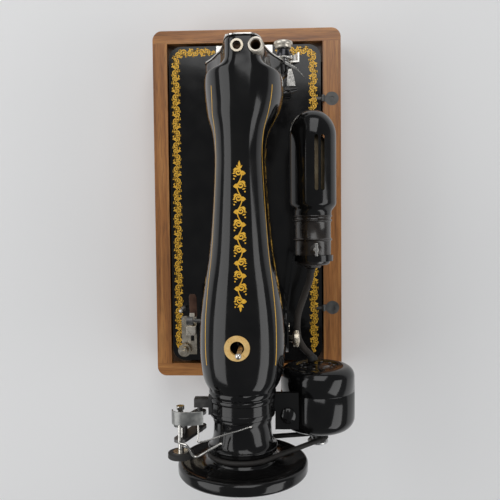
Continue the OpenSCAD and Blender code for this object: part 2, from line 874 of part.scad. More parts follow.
// ---- hook under the bed ----
module hook_shaft() color([0.62, 0.62, 0.62])
    on_bed()
        translate([0, axis_y, hook_h]) {
            along_x(-needle_x + 8)
                cylinder(r = under_shaft_r, h = needle_x - 8 + 80);
            along_x(-needle_x + 4)
                cylinder(r = 15, h = 4);
            translate([-needle_x - 3, -2, -12.5])
                cube([7 + eps, 4, 3]);
            translate([62, -2, -under_shaft_r - 8])
                translate([6, 0, 0])
                    cube([8, 4, 9]);
        }

module shuttle() color([0.75, 0.75, 0.75])
    on_bed()
        translate([0, axis_y, hook_h])
            difference() {
                along_x(shuttle_x + 0.2)
                    cylinder(r = race_r, h = shuttle_l);
                along_x(shuttle_x - 1)
                    cylinder(r = case_r + run_c, h = shuttle_l - 1);
                translate([-needle_x - 1.6 - 1.9, -2.4, -race_r - 1])
                    cube([3, 4.8, 10]);
                translate([-needle_x - 8, -4, race_r - 5])
                    cube([12, 4.2, 8]);
            }

case_r = 12.5;
case_l = 12.5;
bobbin_r = 10.3;
module bobbin_case() color([0.8, 0.8, 0.8])
    on_bed()
        translate([0, axis_y, hook_h])
            along_x(shuttle_x - 3.4) {
                difference() {
                    cylinder(r = case_r, h = case_l);
                    translate([0, 0, 1.2])
                        cylinder(r = case_r - 1, h = case_l);
                }
                cylinder(r = 2.5, h = case_l - 1);
            }

module bobbin() color([0.82, 0.82, 0.82])
    on_bed()
        translate([0, axis_y, hook_h])
            along_x(shuttle_x - 3.4 + 1.4)
                difference() {
                    union() {
                        cylinder(r = bobbin_r, h = 1);
                        cylinder(r = 3.9, h = 9.6);
                        translate([0, 0, 8.6])
                            cylinder(r = bobbin_r, h = 1);
                    }
                    translate([0, 0, -1])
                        cylinder(r = 2.5 + run_c, h = 12);
                }

feed_top = 0.3;
carrier_h = -6.4;
carrier_t = 1.6;
module feed_dog() color([0.65, 0.65, 0.65])
    on_bed() {
        for (s = [-1, 1])
            translate([-needle_x + s * 4 - 0.9, feed_y - 6, carrier_h])
                cube([1.8, 12, -carrier_h - feed_top]);
        translate([-needle_x - 5, feed_y - 6, carrier_h])
            cube([25, 12, carrier_t]);
    }

// ---- motor and belt ----
motor_x = boss_x - 35;
motor_end = motor_x + motor_l;
motor_round = 12;
bracket_h = axis_h - 5;
bracket_t = 5;
lug_y = axis_y + seat_y + 15;

function arc_pts(cx, cy, r, a0, a1, n) = [for (i = [0:n]) let (a = a0 + (a1 - a0) * i / n) [cx + r * cos(a), cy + r * sin(a)]];

module motor_housing() color([0.05, 0.05, 0.055])
    on_bed() {
        translate([0, motor_y, motor_h])
            along_x(motor_x)
                difference() {
                    rotate_extrude()
                        polygon(concat(
                            [[0, 0]],
                            arc_pts(motor_r - 8, 8, 8, -90, 0, 8),
                            arc_pts(motor_r - motor_round, motor_l - motor_round, motor_round, 0, 90, 8),
                            [[0, motor_l]]
                        ));
                    translate([0, 0, 5])
                        cylinder(r = motor_r - 5, h = motor_l - 17);
                    translate([0, 0, 5])
                        cylinder(r = 4 + run_c, h = motor_l);
                }
        difference() {
            translate([lug_x - 11, lug_y - 8, motor_h + 20])
                cube([22, 16, bracket_h - motor_h - 20]);
            translate([0, motor_y, motor_h])
                along_x(motor_x)
                    cylinder(r = motor_r - 4, h = motor_l);
            translate([lug_x, lug_y, bracket_h - 12])
                cylinder(r = bolt_hole_r, h = 20);
        }
    }

lug_x = boss_x + 3;
bolt_hole_r = 3.1;
module motor_bracket() color([0.05, 0.05, 0.055])
    on_bed()
        difference() {
            union() {
                translate([boss_x - 18, axis_y + seat_y, bracket_h - 18])
                    cube([17, 4, 18 + bracket_t]);
                translate([boss_x - 18, axis_y + hub_r + 3, bracket_h])
                    cube([34, lug_y + 10 - axis_y - hub_r - 3, bracket_t]);
            }
            translate([lug_x, lug_y, bracket_h - 1])
                cylinder(r = bolt_hole_r, h = bracket_t + 2);
            translate([boss_x - 10, axis_y, bracket_h - 10])
                along_y(0)
                    cylinder(r = 3, h = 60);
        }

bolt_r = 7;
oil_x = boss_x - 20;
oil_r = 3.7;
module bracket_screws() color([0.3, 0.28, 0.26])
    on_bed() {
        translate([lug_x, lug_y, bracket_h + bracket_t])
            difference() {
                intersection() {
                    translate([0, 0, -9])
                        sphere(r = 13);
                    cylinder(r = bolt_r, h = 5);
                }
                translate([-bolt_r, -0.8, 2.6])
                    cube([2 * bolt_r, 1.6, 4]);
            }
        translate([lug_x, lug_y, bracket_h - 9])
            cylinder(r = 3, h = 9 + bracket_t);
        translate([oil_x, axis_y, axis_h + boss_r])
            tube(oil_r, 1.8, 1.6);
    }

pulley_r = 10;
module motor_rotor() color([0.6, 0.6, 0.6])
    on_bed()
        translate([0, motor_y, motor_h]) {
            along_x(motor_x + 6)
                cylinder(r = 4, h = belt_x + 7 - motor_x - 6);
            along_x(motor_x + 10)
                tube(motor_r - 12, 4, motor_l - 28);
            along_x(belt_x - 6)
                rotate_extrude()
                    polygon([
                        [4, 0], [pulley_r, 0], [pulley_r, 6 - belt_cord_r - 0.8],
                        [belt_motor_r - belt_cord_r - 0.3, 6 - belt_cord_r + 0.6],
                        [belt_motor_r - belt_cord_r - 0.3, 6 + belt_cord_r - 0.6],
                        [pulley_r, 6 + belt_cord_r + 0.8], [pulley_r, 12], [4, 12]
                    ]);
        }

belt_dy = motor_y - axis_y;
belt_dz = motor_h - axis_h;
belt_span = sqrt(belt_dy * belt_dy + belt_dz * belt_dz);
belt_dir = atan2(belt_dz, belt_dy);
belt_wrap = acos((belt_wheel_r - belt_motor_r) / belt_span);
belt_run = sqrt(belt_span * belt_span - pow(belt_wheel_r - belt_motor_r, 2));

module drive_belt() color([0.1, 0.09, 0.08])
    on_bed()
        translate([belt_x, axis_y, axis_h])
            rotate([90, 0, 90])
                rotate([0, 0, belt_dir]) {
                    rotate([0, 0, belt_wrap])
                        rotate_extrude(angle = 360 - 2 * belt_wrap)
                            translate([belt_wheel_r, 0])
                                circle(belt_cord_r, $fn = 32);
                    translate([belt_span, 0, 0])
                        rotate([0, 0, -belt_wrap])
                            rotate_extrude(angle = 2 * belt_wrap)
                                translate([belt_motor_r, 0])
                                    circle(belt_cord_r, $fn = 32);
                    for (s = [-1, 1])
                        rotate([0, 0, s * belt_wrap])
                            translate([belt_wheel_r, 0, 0])
                                rotate([s * 90, 0, 0])
                                    cylinder(r = belt_cord_r, h = belt_run, $fn = 32);
                }

// ---- lamp ----
neck_r = 18.5;
shade_x = -lamp_tip_x;
shade_end = shade_x + shade_l;
dome_l = 26;
taper_l = 12;
slot_l = 53;

module at_lamp() {
    on_bed()
        translate([0, lamp_y, lamp_h])
            children();
}

function dome_pts(r, l, z0, n) = [for (i = [0:n]) let (a = 90 * i / n) [r * pow(sin(a), 0.8), z0 + l * (1 - pow(cos(a), 0.8))]];

module lamp_shade() color([0.05, 0.05, 0.055])
    at_lamp()
        difference() {
            along_x(shade_x)
                rotate_extrude()
                    polygon(concat(
                        dome_pts(shade_r, dome_l, 0, 12),
                        [[shade_r, shade_l - taper_l], [neck_r, shade_l], [neck_r - shade_t, shade_l],
                         [neck_r - shade_t, shade_l - 8], [shade_r - shade_t, shade_l - taper_l - 4]],
                        [for (i = [12:-1:0]) dome_pts(shade_r - shade_t, dome_l - shade_t, shade_t, 12)[i]]
                    ));
            for (y = [2.5, 10])
                translate([shade_x + 27, y, 0])
                    cube([slot_l, 3, 40]);
            translate([shade_x + 18, -30, -40])
                cube([slot_l + 14, 60, 26]);
        }

module lamp_socket() color([0.07, 0.065, 0.06])
    at_lamp()
        along_x(shade_end)
            difference() {
                rotate_extrude()
                    polygon([
                        [9, -8], [neck_r - shade_t - run_c, -8], [neck_r - shade_t - run_c, 0], [neck_r + 0.7, 0],
                        [neck_r + 0.7, 1.5], [neck_r - 0.5, 2], [neck_r - 0.5, 4], [neck_r + 0.7, 4.5],
                        [neck_r + 0.7, 6], [neck_r - 0.5, 7], [neck_r - 0.5, 22], [neck_r + 0.9, 23],
                        [neck_r + 0.9, 25], [neck_r - 0.5, 26], [neck_r - 0.5, socket_l - 8],
                        [neck_r - 6, socket_l], [0, socket_l], [0, 14], [9, 14]
                    ]);
                translate([0, 0, -20])
                    cylinder(r = 8.5, h = 34);
            }

module lamp_switch() color([0.6, 0.58, 0.55])
    at_lamp()
        translate([shade_end + 33, 2, neck_r - 0.5]) {
            cylinder(r = 5, h = 7);
            translate([-6.5, -1.5, 3])
                cube([13, 3, 4]);
        }

module lamp_bulb() color([0.9, 0.88, 0.8, 0.6])
    at_lamp()
        along_x(shade_end + 13)
            mirror([0, 0, 1]) {
                cylinder(r = 8.3, h = 24);
                translate([0, 0, 24])
                    cylinder(r1 = 8.3, r2 = 12, h = 10);
                translate([0, 0, 38])
                    sphere(r = 13);
            }

strap_y = axis_y + pillar_hw + 0.2;
strap_x = screw_x + 8;
module lamp_bracket() color([0.6, 0.6, 0.6])
    on_bed()
        difference() {
            union() {
                translate([strap_x - 40, strap_y, screw_h - 9])
                    cube([40, 2, 18]);
                hull() {
                    translate([strap_x - 40, strap_y, screw_h - 9])
                        cube([1, 2, 18]);
                    translate([shade_end + socket_l - 13, lamp_y - neck_r - 1.5, screw_h - 9])
                        cube([1, 2, 12]);
                }
                translate([0, lamp_y, lamp_h])
                    along_x(shade_end + socket_l - 13)
                        tube(neck_r + 1.5, neck_r - 0.5, 6);
            }
            translate([screw_x, strap_y - 1, screw_h])
                along_y(0)
                    cylinder(r = 2.6, h = 5);
            translate([0, lamp_y, lamp_h])
                along_x(shade_end + socket_l - 24)
                    cylinder(r = neck_r - 0.5, h = 30);
        }

module thumb_screw() color([0.85, 0.82, 0.75])
    on_bed()
        translate([screw_x, strap_y + 2, screw_h])
            along_y(0) {
                translate([0, 0, -10])
                    cylinder(r = 2.5, h = 16);
                translate([0, 0, 0])
                    cylinder(r = 3.6, h = 6);
                translate([0, 0, 6])
                    cylinder(r = 8, h = 5);
            }

lead_r = 3.6;
lead_pts = [
    [shade_end + socket_l, lamp_y - 2, lamp_h], [shade_end + socket_l + 12, lamp_y - 3, lamp_h - 3],
    [98, 63, 100], [118, 57, 97], [138, 57, 97], [150, 63, 102], [motor_x - 5, 70, 108], [motor_x, 72, 109]
];
function unit(v) = v / norm(v);
function spline(p, i, t) = let (a = p[max(i - 1, 0)], b = p[i], c = p[i + 1], d = p[min(i + 2, len(p) - 1)])
    0.5 * (2 * b + (c - a) * t + (2 * a - 5 * b + 4 * c - d) * t * t + (3 * b - a - 3 * c + d) * t * t * t);
function route(p, n) = concat([for (i = [0:len(p) - 2]) for (k = [0:n - 1]) spline(p, i, k / n)], [p[len(p) - 1]]);
function tube_ring(c, d, r, n) = let (u = unit(cross(d, [0, 0, 1])), v = cross(u, d))
    [for (i = [0:n - 1]) c + r * (u * cos(360 * i / n) + v * sin(360 * i / n))];
module swept(path, r, n) {
    m = len(path);
    loft([for (k = [0:m - 1])
        tube_ring(path[k], k == 0 || k == m - 1 ? [1, 0, 0] : unit(path[k + 1] - path[k - 1]), r, n)], true);
}

module lamp_lead() color([0.12, 0.1, 0.09])
    on_bed()
        swept(route(lead_pts, 4), lead_r, 12);

// ---- bobbin winder ----
pivot_y = axis_y - 41.5;
pivot_h = axis_h - 15;
spindle_y = axis_y - 54.5;
spindle_h = axis_h + 20;
pin_pr = 2.5;
cheek_x = [boss_x + 3, boss_x + 17];
cheek_t = 3;

module winder_bracket() color([0.5, 0.5, 0.5])
    on_bed() {
        translate([boss_x - 18, axis_y - seat_y - 4, pivot_h - 8])
            cube([17, 4, 34]);
        translate([boss_x - 9, pivot_y - 5, pivot_h - 5])
            cube([8, axis_y - seat_y - pivot_y + 5, 10]);
        translate([0, pivot_y, pivot_h])
            along_x(boss_x - 1)
                cylinder(r = pin_pr, h = 24);
    }

module winder_arm() color([0.55, 0.56, 0.56])
    on_bed()
        difference() {
            union() {
                for (x = cheek_x)
                    hull() {
                        translate([0, pivot_y, pivot_h])
                            along_x(x)
                                cylinder(r = 6, h = cheek_t, $fn = 32);
                        translate([0, spindle_y, spindle_h])
                            along_x(x)
                                cylinder(r = 6, h = cheek_t, $fn = 32);
                    }
                translate([cheek_x[0], (pivot_y + spindle_y) / 2 - 9.5, (pivot_h + spindle_h) / 2 - 4])
                    cube([cheek_x[1] - cheek_x[0] + cheek_t, 6, 16]);
            }
            for (p = [[pivot_y, pivot_h], [spindle_y, spindle_h]])
                translate([0, p[0], p[1]])
                    along_x(cheek_x[0] - 5)
                        cylinder(r = pin_pr + run_c, h = 40);
        }

tyre_r = 11.5;
tyre_x = belt_x - 6;
module winder_spindle() color([0.75, 0.72, 0.65])
    on_bed()
        translate([0, spindle_y, spindle_h]) {
            along_x(boss_x - 10)
                cylinder(r = pin_pr, h = tyre_x + 6 - boss_x + 10);
            along_x(boss_x - 12)
                cylinder(r = 3.6, h = 3);
            along_x(cheek_x[0] - 2.5)
                tube(5, pin_pr, 2.3);
            along_x(tyre_x - 1)
                tube(7, pin_pr, 6);
        }

module winder_tyre() color([0.1, 0.1, 0.1])
    on_bed()
        translate([0, spindle_y, spindle_h])
            along_x(tyre_x)
                tube(tyre_r, 7, 4);

// ---- stitch regulator ----
reg_x = pillar_x - 7;
reg_y = axis_y - pillar_hw;
lever_pivot_y = reg_y + 15;
module regulator_plate() color([0.7, 0.7, 0.7])
    on_bed()
        translate([reg_x - 11, reg_y - 2.5, lever_h - 30])
            difference() {
                cube([28, 2.4, 60]);
                translate([8, -1, 30 - lever_slot / 2])
                    cube([6, 5, lever_slot]);
            }

module stitch_lever() color([0.55, 0.55, 0.55])
    on_bed()
        translate([reg_x, lever_pivot_y, lever_h]) {
            translate([-2.5, 0, 0])
                rotate([0, 90, 0])
                    cylinder(r = 4, h = 5);
            translate([0, -34, 0])
                along_y(0)
                    cylinder(r = 2, h = 32);
            translate([0, -40, 0])
                along_y(0)
                    cylinder(r = 5, h = 7);
        }

// ---- thread tension for bobbin winding, on the bed's corner ----
wind_x = 172;
wind_y = -74;
module winding_tension() color([0.78, 0.78, 0.77])
    on_bed() {
        translate([wind_x - 40, wind_y - 4, 0])
            difference() {
                cube([46, 18, 2]);
                translate([8, 11, -1])
                    cube([22, 4, 4]);
                translate([40, 4, -1])
                    cylinder(r = 2, h = 4);
            }
        translate([wind_x, wind_y, 0])
            cylinder(r = 2, h = 20);
        for (k = [0, 1])
            translate([wind_x, wind_y, 7 + k * 1.2])
                tube(7.5, 2, 1);
        translate([wind_x, wind_y, 13])
            tube(4.5, 2, 4);
        translate([wind_x, wind_y, 9.4])
            tube(3.2, 2, 3.4);
        translate([wind_x, wind_y, 2])
            tube(3.2, 2, 4.8);
        translate([wind_x - 36, wind_y + 2, 2])
            cube([8, 8, 9]);
    }

// ---- spool pin and its ring ----
pin_tip = 231;
pin_side = 3;
module spool_ring() color([0.85, 0.65, 0.3])
    on_bed()
        translate([spool_x, spool_y, arm_top - ring_h])
            tube(ring_out_r, ring_in_r, ring_h + 0.8);

module spool_pin() color([0.75, 0.73, 0.7])
    on_bed()
        translate([spool_x, spool_y, axis_h + bore_r + 4]) {
            cylinder(r = ring_in_r, h = 3);
            translate([0, pin_side, 0])
                cylinder(r = 2.1, h = pin_tip - axis_h - bore_r - 6.1);
            translate([0, pin_side, pin_tip - axis_h - bore_r - 6.1])
                sphere(r = 2.1);
        }

base_frame();
base_floor();
bed_pads();
hinge_leaves();
bed();
hinge_tongues();
slide_plate();
needle_plate();
arm();
rear_cover();
face_plate();
cover_screws();
bracket_screws();
head_bushings();
shaft_bushings();
arm_shaft();
needle_crank();
handwheel();
clutch_knob();
needle_bar();
needle_clamp();
needle();
take_up_lever();
presser_bar();
presser_foot();
presser_spring();
pressure_screw();
presser_lifter();
tension_post();
tension_discs();
tension_springs();
tension_dial();
thread_guard();
hook_shaft();
shuttle();
bobbin_case();
bobbin();
feed_dog();
motor_bracket();
motor_housing();
motor_rotor();
drive_belt();
lamp_bracket();
lamp_socket();
lamp_switch();
lamp_shade();
lamp_bulb();
lamp_lead();
winder_bracket();
winder_arm();
winder_spindle();
winder_tyre();
regulator_plate();
stitch_lever();
winding_tension();
spool_pin();
spool_ring();
thumb_screw();
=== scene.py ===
"""Looks of the sewing machine: finishes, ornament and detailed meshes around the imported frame."""
import math

import bmesh
import bpy
from mathutils import Matrix, Vector
from mathutils.bvhtree import BVHTree


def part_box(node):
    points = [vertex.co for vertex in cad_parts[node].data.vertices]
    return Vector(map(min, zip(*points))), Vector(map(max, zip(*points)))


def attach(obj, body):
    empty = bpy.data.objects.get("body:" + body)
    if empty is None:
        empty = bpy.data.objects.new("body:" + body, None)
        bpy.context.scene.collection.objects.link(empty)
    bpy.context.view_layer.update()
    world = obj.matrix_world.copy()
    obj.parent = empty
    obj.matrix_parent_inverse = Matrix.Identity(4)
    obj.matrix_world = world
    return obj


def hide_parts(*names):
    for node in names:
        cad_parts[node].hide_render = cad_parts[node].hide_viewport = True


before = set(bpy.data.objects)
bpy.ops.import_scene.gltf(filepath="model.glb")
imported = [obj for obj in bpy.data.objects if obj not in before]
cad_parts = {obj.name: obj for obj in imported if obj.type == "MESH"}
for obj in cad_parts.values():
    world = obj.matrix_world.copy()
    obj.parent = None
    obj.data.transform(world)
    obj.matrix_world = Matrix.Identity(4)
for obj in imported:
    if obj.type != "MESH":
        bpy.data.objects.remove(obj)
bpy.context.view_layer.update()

MM = 0.001
TAU = 2 * math.pi

# ---- places, in millimetres from the middle of the bed's top ----
BED_LOW, BED_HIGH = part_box("bed")
BED_Y = (BED_LOW[1] + BED_HIGH[1]) / 2 / MM
BED_TOP = BED_HIGH[2] / MM
BED_L = (BED_HIGH[0] - BED_LOW[0]) / MM
BED_W = (BED_HIGH[1] - BED_LOW[1]) / MM
AXIS_Y = 3.5
AXIS_H = 165.0
FACE_X = -136.0
BOSS_X = 196.0
BOSS_R = 29.5
ARM_TOP = 197.5
ARM_LOW = 131.0
HEAD_LOW = 67.0
HEAD_HW = 37.0
WAIST_HW = 23.7
PILLAR_HW = 41.5
PILLAR_HL = 38.0
PILLAR_X = 135.0
NEEDLE_X = -128.0
PRESSER_Y = AXIS_Y + 16
SPOOL_X = 130.0
SPOOL_Y = AXIS_Y - 2.5
TENSION_Y, TENSION_H = 44.0, 102.0
MOTOR_Y, MOTOR_H = 75.0, 126.0
WINDING_X, WINDING_Y = 123.3, -75.6


def at(x, y, h):
    """A point in metres in the part's frame, given in millimetres from the middle of the bed's top."""
    return Vector((x, y + BED_Y, h + BED_TOP)) * MM


X_DIR, Y_DIR, Z_DIR = Vector((1, 0, 0)), Vector((0, 1, 0)), Vector((0, 0, 1))
AXIS = at(0, AXIS_Y, AXIS_H)
MOTOR = at(0, MOTOR_Y, MOTOR_H)
TENSION = at(0, TENSION_Y, TENSION_H)
LAMP = at(0, 72, 110)


# ---- materials ----
def new_material(name):
    mat = bpy.data.materials.new(name)
    mat.use_nodes = True
    return mat, mat.node_tree.nodes, mat.node_tree.links, mat.node_tree.nodes["Principled BSDF"]


def set_inputs(node, **values):
    """Sets inputs of a shader node. An underscore in a name stands for a space."""
    for name, value in values.items():
        node.inputs[name.replace("_", " ")].default_value = value


def add_noise(nodes, links, scale, detail, stretch=None):
    coords = nodes.new("ShaderNodeTexCoord")
    mapping = nodes.new("ShaderNodeMapping")
    noise = nodes.new("ShaderNodeTexNoise")
    set_inputs(noise, Scale=scale, Detail=detail)
    if stretch:
        set_inputs(mapping, Scale=stretch)
    links.new(coords.outputs["Object"], mapping.inputs["Vector"])
    links.new(mapping.outputs["Vector"], noise.inputs["Vector"])
    return noise


def add_ramp(nodes, links, source, low, high, span=(0.3, 0.7)):
    ramp = nodes.new("ShaderNodeValToRGB")
    for stop, place, colour in zip(ramp.color_ramp.elements, span, (low, high)):
        stop.position = place
        stop.color = (*colour, 1)
    links.new(source, ramp.inputs["Fac"])
    return ramp


def grey(v):
    return (v, v, v)


def add_bump(nodes, links, shader, source, distance, strength):
    bump = nodes.new("ShaderNodeBump")
    set_inputs(bump, Strength=strength, Distance=distance)
    links.new(source, bump.inputs["Height"])
    links.new(bump.outputs["Normal"], shader.inputs["Normal"])


def coated(name, low, high, rough, coat=0.0, metallic=0.0, scale=60.0, bump=0.00004):
    """A finish whose colour and roughness drift with fine noise."""
    mat, nodes, links, shader = new_material(name)
    noise = add_noise(nodes, links, scale, 5.0)
    tint = add_ramp(nodes, links, noise.outputs["Fac"], low, high)
    links.new(tint.outputs["Color"], shader.inputs["Base Color"])
    wear = add_ramp(nodes, links, noise.outputs["Fac"], grey(rough[0]), grey(rough[1]), (0.35, 0.75))
    links.new(wear.outputs["Color"], shader.inputs["Roughness"])
    set_inputs(shader, Metallic=metallic, Coat_Weight=coat, Coat_Roughness=0.04)
    fine = add_noise(nodes, links, scale * 6, 3.0)
    add_bump(nodes, links, shader, fine.outputs["Fac"], bump, 0.25)
    return mat


def wood(name, low, middle, high, rough=0.38):
    """Varnished wood with its grain along X."""
    mat, nodes, links, shader = new_material(name)
    long_way, cross_way = 0.9, 22.0
    stretch = (long_way, cross_way, cross_way)
    bands = add_noise(nodes, links, 7.0, 8.0, stretch)
    set_inputs(bands, Distortion=0.6)
    pores = add_noise(nodes, links, 60.0, 4.0, stretch)
    ramp = add_ramp(nodes, links, bands.outputs["Fac"], low, high, (0.3, 0.72))
    centre = ramp.color_ramp.elements.new(0.5)
    centre.color = (*middle, 1)
    dots = add_ramp(nodes, links, pores.outputs["Fac"], grey(0.45), grey(1.0), (0.36, 0.5))
    mix = nodes.new("ShaderNodeMix")
    mix.data_type = "RGBA"
    mix.blend_type = "MULTIPLY"
    set_inputs(mix, Factor=0.7)
    links.new(ramp.outputs["Color"], mix.inputs["A"])
    links.new(dots.outputs["Color"], mix.inputs["B"])
    links.new(mix.outputs["Result"], shader.inputs["Base Color"])
    set_inputs(shader, Roughness=rough, Coat_Weight=0.35, Coat_Roughness=0.22)
    add_bump(nodes, links, shader, pores.outputs["Fac"], 0.00012, 0.35)
    return mat


def braided(name):
    """Cloth-covered lead: a fine diagonal weave."""
    mat, nodes, links, shader = new_material(name)
    coords = nodes.new("ShaderNodeTexCoord")
    wave = nodes.new("ShaderNodeTexWave")
    wave.wave_type = "BANDS"
    wave.bands_direction = "DIAGONAL"
    set_inputs(wave, Scale=420.0, Distortion=1.5)
    links.new(coords.outputs["Object"], wave.inputs["Vector"])
    tint = add_ramp(nodes, links, wave.outputs["Fac"], (0.016, 0.013, 0.011), (0.055, 0.045, 0.037),
                    (0.2, 0.8))
    links.new(tint.outputs["Color"], shader.inputs["Base Color"])
    set_inputs(shader, Roughness=0.75)
    add_bump(nodes, links, shader, wave.outputs["Fac"], 0.0003, 0.6)
    return mat


JAPAN = coated("japan_black", (0.003, 0.003, 0.0033), (0.007, 0.0068, 0.0066), (0.09, 0.17), coat=0.15,
               scale=45.0)
set_inputs(JAPAN.node_tree.nodes["Principled BSDF"], Specular_IOR_Level=0.36)
JAPAN_DULL = coated("japan_rubbed", (0.006, 0.006, 0.006), (0.018, 0.016, 0.014), (0.3, 0.5), coat=0.3,
                    scale=70.0)
NICKEL = coated("nickel_plate", (0.62, 0.60, 0.56), (0.78, 0.76, 0.72), (0.12, 0.3), metallic=1.0,
                scale=90.0)
CREAM_NICKEL = coated("aged_nickel", (0.60, 0.52, 0.40), (0.80, 0.74, 0.62), (0.2, 0.38), metallic=1.0,
                      scale=160.0)
STEEL = coated("bright_steel", (0.42, 0.42, 0.42), (0.6, 0.6, 0.59), (0.22, 0.42), metallic=1.0, scale=110.0)
DARK_STEEL = coated("dark_steel", (0.10, 0.10, 0.10), (0.2, 0.195, 0.19), (0.35, 0.55), metallic=0.9,
                    scale=130.0)
HINGE_STEEL = coated("hinge_steel", (0.085, 0.085, 0.082), (0.15, 0.148, 0.142), (0.4, 0.6), metallic=0.75,
                     scale=130.0)
BRASS = coated("brass", (0.70, 0.42, 0.13), (0.88, 0.60, 0.25), (0.24, 0.4), metallic=1.0, scale=260.0)
BRONZE = coated("bronze", (0.34, 0.2, 0.08), (0.5, 0.32, 0.15), (0.35, 0.5), metallic=1.0, scale=150.0)
GOLD = coated("gold_leaf", (0.74, 0.38, 0.028), (0.94, 0.56, 0.06), (0.3, 0.5), metallic=0.15, scale=420.0,
              bump=0.00002)
RUBBER = coated("rubber", (0.012, 0.012, 0.012), (0.03, 0.029, 0.027), (0.6, 0.8), scale=180.0, bump=0.0001)
BAKELITE = coated("bakelite", (0.010, 0.008, 0.007), (0.024, 0.018, 0.014), (0.22, 0.4), coat=0.4,
                  scale=90.0)
LEATHER = coated("belt_leather", (0.006, 0.005, 0.004), (0.016, 0.013, 0.011), (0.6, 0.8), scale=240.0,
                 bump=0.00015)
PLAIN_WOOD = wood("plain_wood", (0.10, 0.055, 0.028), (0.15, 0.085, 0.045), (0.2, 0.12, 0.065), 0.7)
BRAID = braided("braided_lead")
GILT = coated("gilt_brass", (0.88, 0.55, 0.19), (0.97, 0.68, 0.29), (0.25, 0.42), metallic=0.25, scale=260.0)
BROWN = coated("oily_brown", (0.035, 0.018, 0.008), (0.09, 0.05, 0.025), (0.3, 0.5), metallic=0.5,
               scale=200.0)
WINDER_STEEL = coated("worn_steel", (0.22, 0.225, 0.22), (0.42, 0.42, 0.40), (0.3, 0.5), metallic=0.85,
                      scale=150.0)
SATIN = coated("satin_nickel", (0.58, 0.52, 0.43), (0.80, 0.76, 0.68), (0.25, 0.42), metallic=0.7,
               scale=160.0)
BLUED = coated("blued_steel", (0.035, 0.035, 0.038), (0.07, 0.07, 0.075), (0.16, 0.3), metallic=0.9,
               scale=140.0)
BULB = coated("dusty_bulb", (0.27, 0.20, 0.115), (0.46, 0.37, 0.23), (0.3, 0.5), scale=120.0)
TARNISHED = coated("tarnished_lever", (0.045, 0.018, 0.010), (0.10, 0.045, 0.025), (0.35, 0.55),
                   metallic=0.3, scale=120.0)


# ---- mesh tools ----
def make_object(name, verts, faces, material, body, replaces=(), smooth=True):
    mesh = bpy.data.meshes.new(name)
    mesh.from_pydata([tuple(v) for v in verts], [], faces)
    mesh.validate()
    if smooth:
        mesh.polygons.foreach_set("use_smooth", [True] * len(mesh.polygons))
    obj = bpy.data.objects.new(name, mesh)
    bpy.context.collection.objects.link(obj)
    obj.data.materials.append(material)
    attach(obj, body)
    if replaces:
        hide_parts(*replaces)
    return obj


def soften(obj, width=0.5, segments=2, angle=35.0):
    """Rounds the sharp edges a little, so that they catch the light."""
    bevel = obj.modifiers.new("edges", "BEVEL")
    bevel.width = width * MM
    bevel.segments = segments
    bevel.limit_method = "ANGLE"
    bevel.angle_limit = math.radians(angle)
    bevel.harden_normals = False
    bevel.use_clamp_overlap = True
    normals = obj.modifiers.new("normals", "WEIGHTED_NORMAL")
    normals.keep_sharp = False
    return obj


def stitch_rings(rings, loop=False):
    """Quads between rings of points, with capped ends or closed into a loop."""
    n = len(rings[0])
    verts = [v for ring in rings for v in ring]
    faces = []
    spans = len(rings) if loop else len(rings) - 1
    for k in range(spans):
        a, b = k * n, ((k + 1) % len(rings)) * n
        for i in range(n):
            j = (i + 1) % n
            faces.append((a + i, a + j, b + j, b + i))
    if not loop:
        faces.append(tuple(range(n))[::-1])
        faces.append(tuple((len(rings) - 1) * n + i for i in range(n)))
    return verts, faces


AXES = {
    "X": (Vector((1, 0, 0)), Vector((0, 1, 0)), Vector((0, 0, 1))),
    "Y": (Vector((0, 1, 0)), Vector((0, 0, 1)), Vector((1, 0, 0))),
    "Z": (Vector((0, 0, 1)), Vector((1, 0, 0)), Vector((0, 1, 0))),
}


def circle(n, radius=1.0):
    """Points round a circle, as (cosine, sine) pairs times the radius."""
    return [(radius * math.cos(TAU * i / n), radius * math.sin(TAU * i / n)) for i in range(n)]


def lathe_mesh(profile, centre, axis="X", segments=96):
    """Turns (radius, distance) points about an axis through centre. A closed profile makes a ring."""
    along, u, v = AXES[axis]
    closed = profile[0] == profile[-1]
    rings = []
    for radius, distance in profile[:-1] if closed else profile:
        r = max(radius, 0.001) * MM
        base = centre + along * (distance * MM)
        rings.append([base + (u * c + v * s) * r for c, s in circle(segments)])
    return stitch_rings(rings, loop=closed)


def recalc(obj):
    bm = bmesh.new()
    bm.from_mesh(obj.data)
    bmesh.ops.recalc_face_normals(bm, faces=bm.faces)
    bm.to_mesh(obj.data)
    bm.free()


def block_mesh(low, high):
    x0, y0, z0 = low
    x1, y1, z1 = high
    verts = [Vector(p) for p in ((x0, y0, z0), (x1, y0, z0), (x1, y1, z0), (x0, y1, z0),
                                 (x0, y0, z1), (x1, y0, z1), (x1, y1, z1), (x0, y1, z1))]
    faces = [(0, 3, 2, 1), (4, 5, 6, 7), (0, 1, 5, 4), (1, 2, 6, 5), (2, 3, 7, 6), (3, 0, 4, 7)]
    return verts, faces


def prism_mesh(outline, thickness, origin, u, v):
    """An outline in the plane of u and v, thickened along their cross product."""
    w = u.cross(v) * (thickness * MM)
    low = [origin + u * (a * MM) + v * (b * MM) for a, b in outline]
    return stitch_rings([low, [p + w for p in low]])


def join_meshes(parts):
    verts, faces = [], []
    for some_verts, some_faces in parts:
        base = len(verts)
        verts += some_verts
        faces += [tuple(base + i for i in f) for f in some_faces]
    return verts, faces


def frames_along(path):
    """A stable pair of cross directions at each point of a path."""
    tangents = []
    for i in range(len(path)):
        a, b = path[max(i - 1, 0)], path[min(i + 1, len(path) - 1)]
        tangents.append((b - a).normalized())
    side = tangents[0].orthogonal().normalized()
    out = []
    for t in tangents:
        side = (side - t * side.dot(t)).normalized()
        out.append((side.copy(), t.cross(side)))
    return out


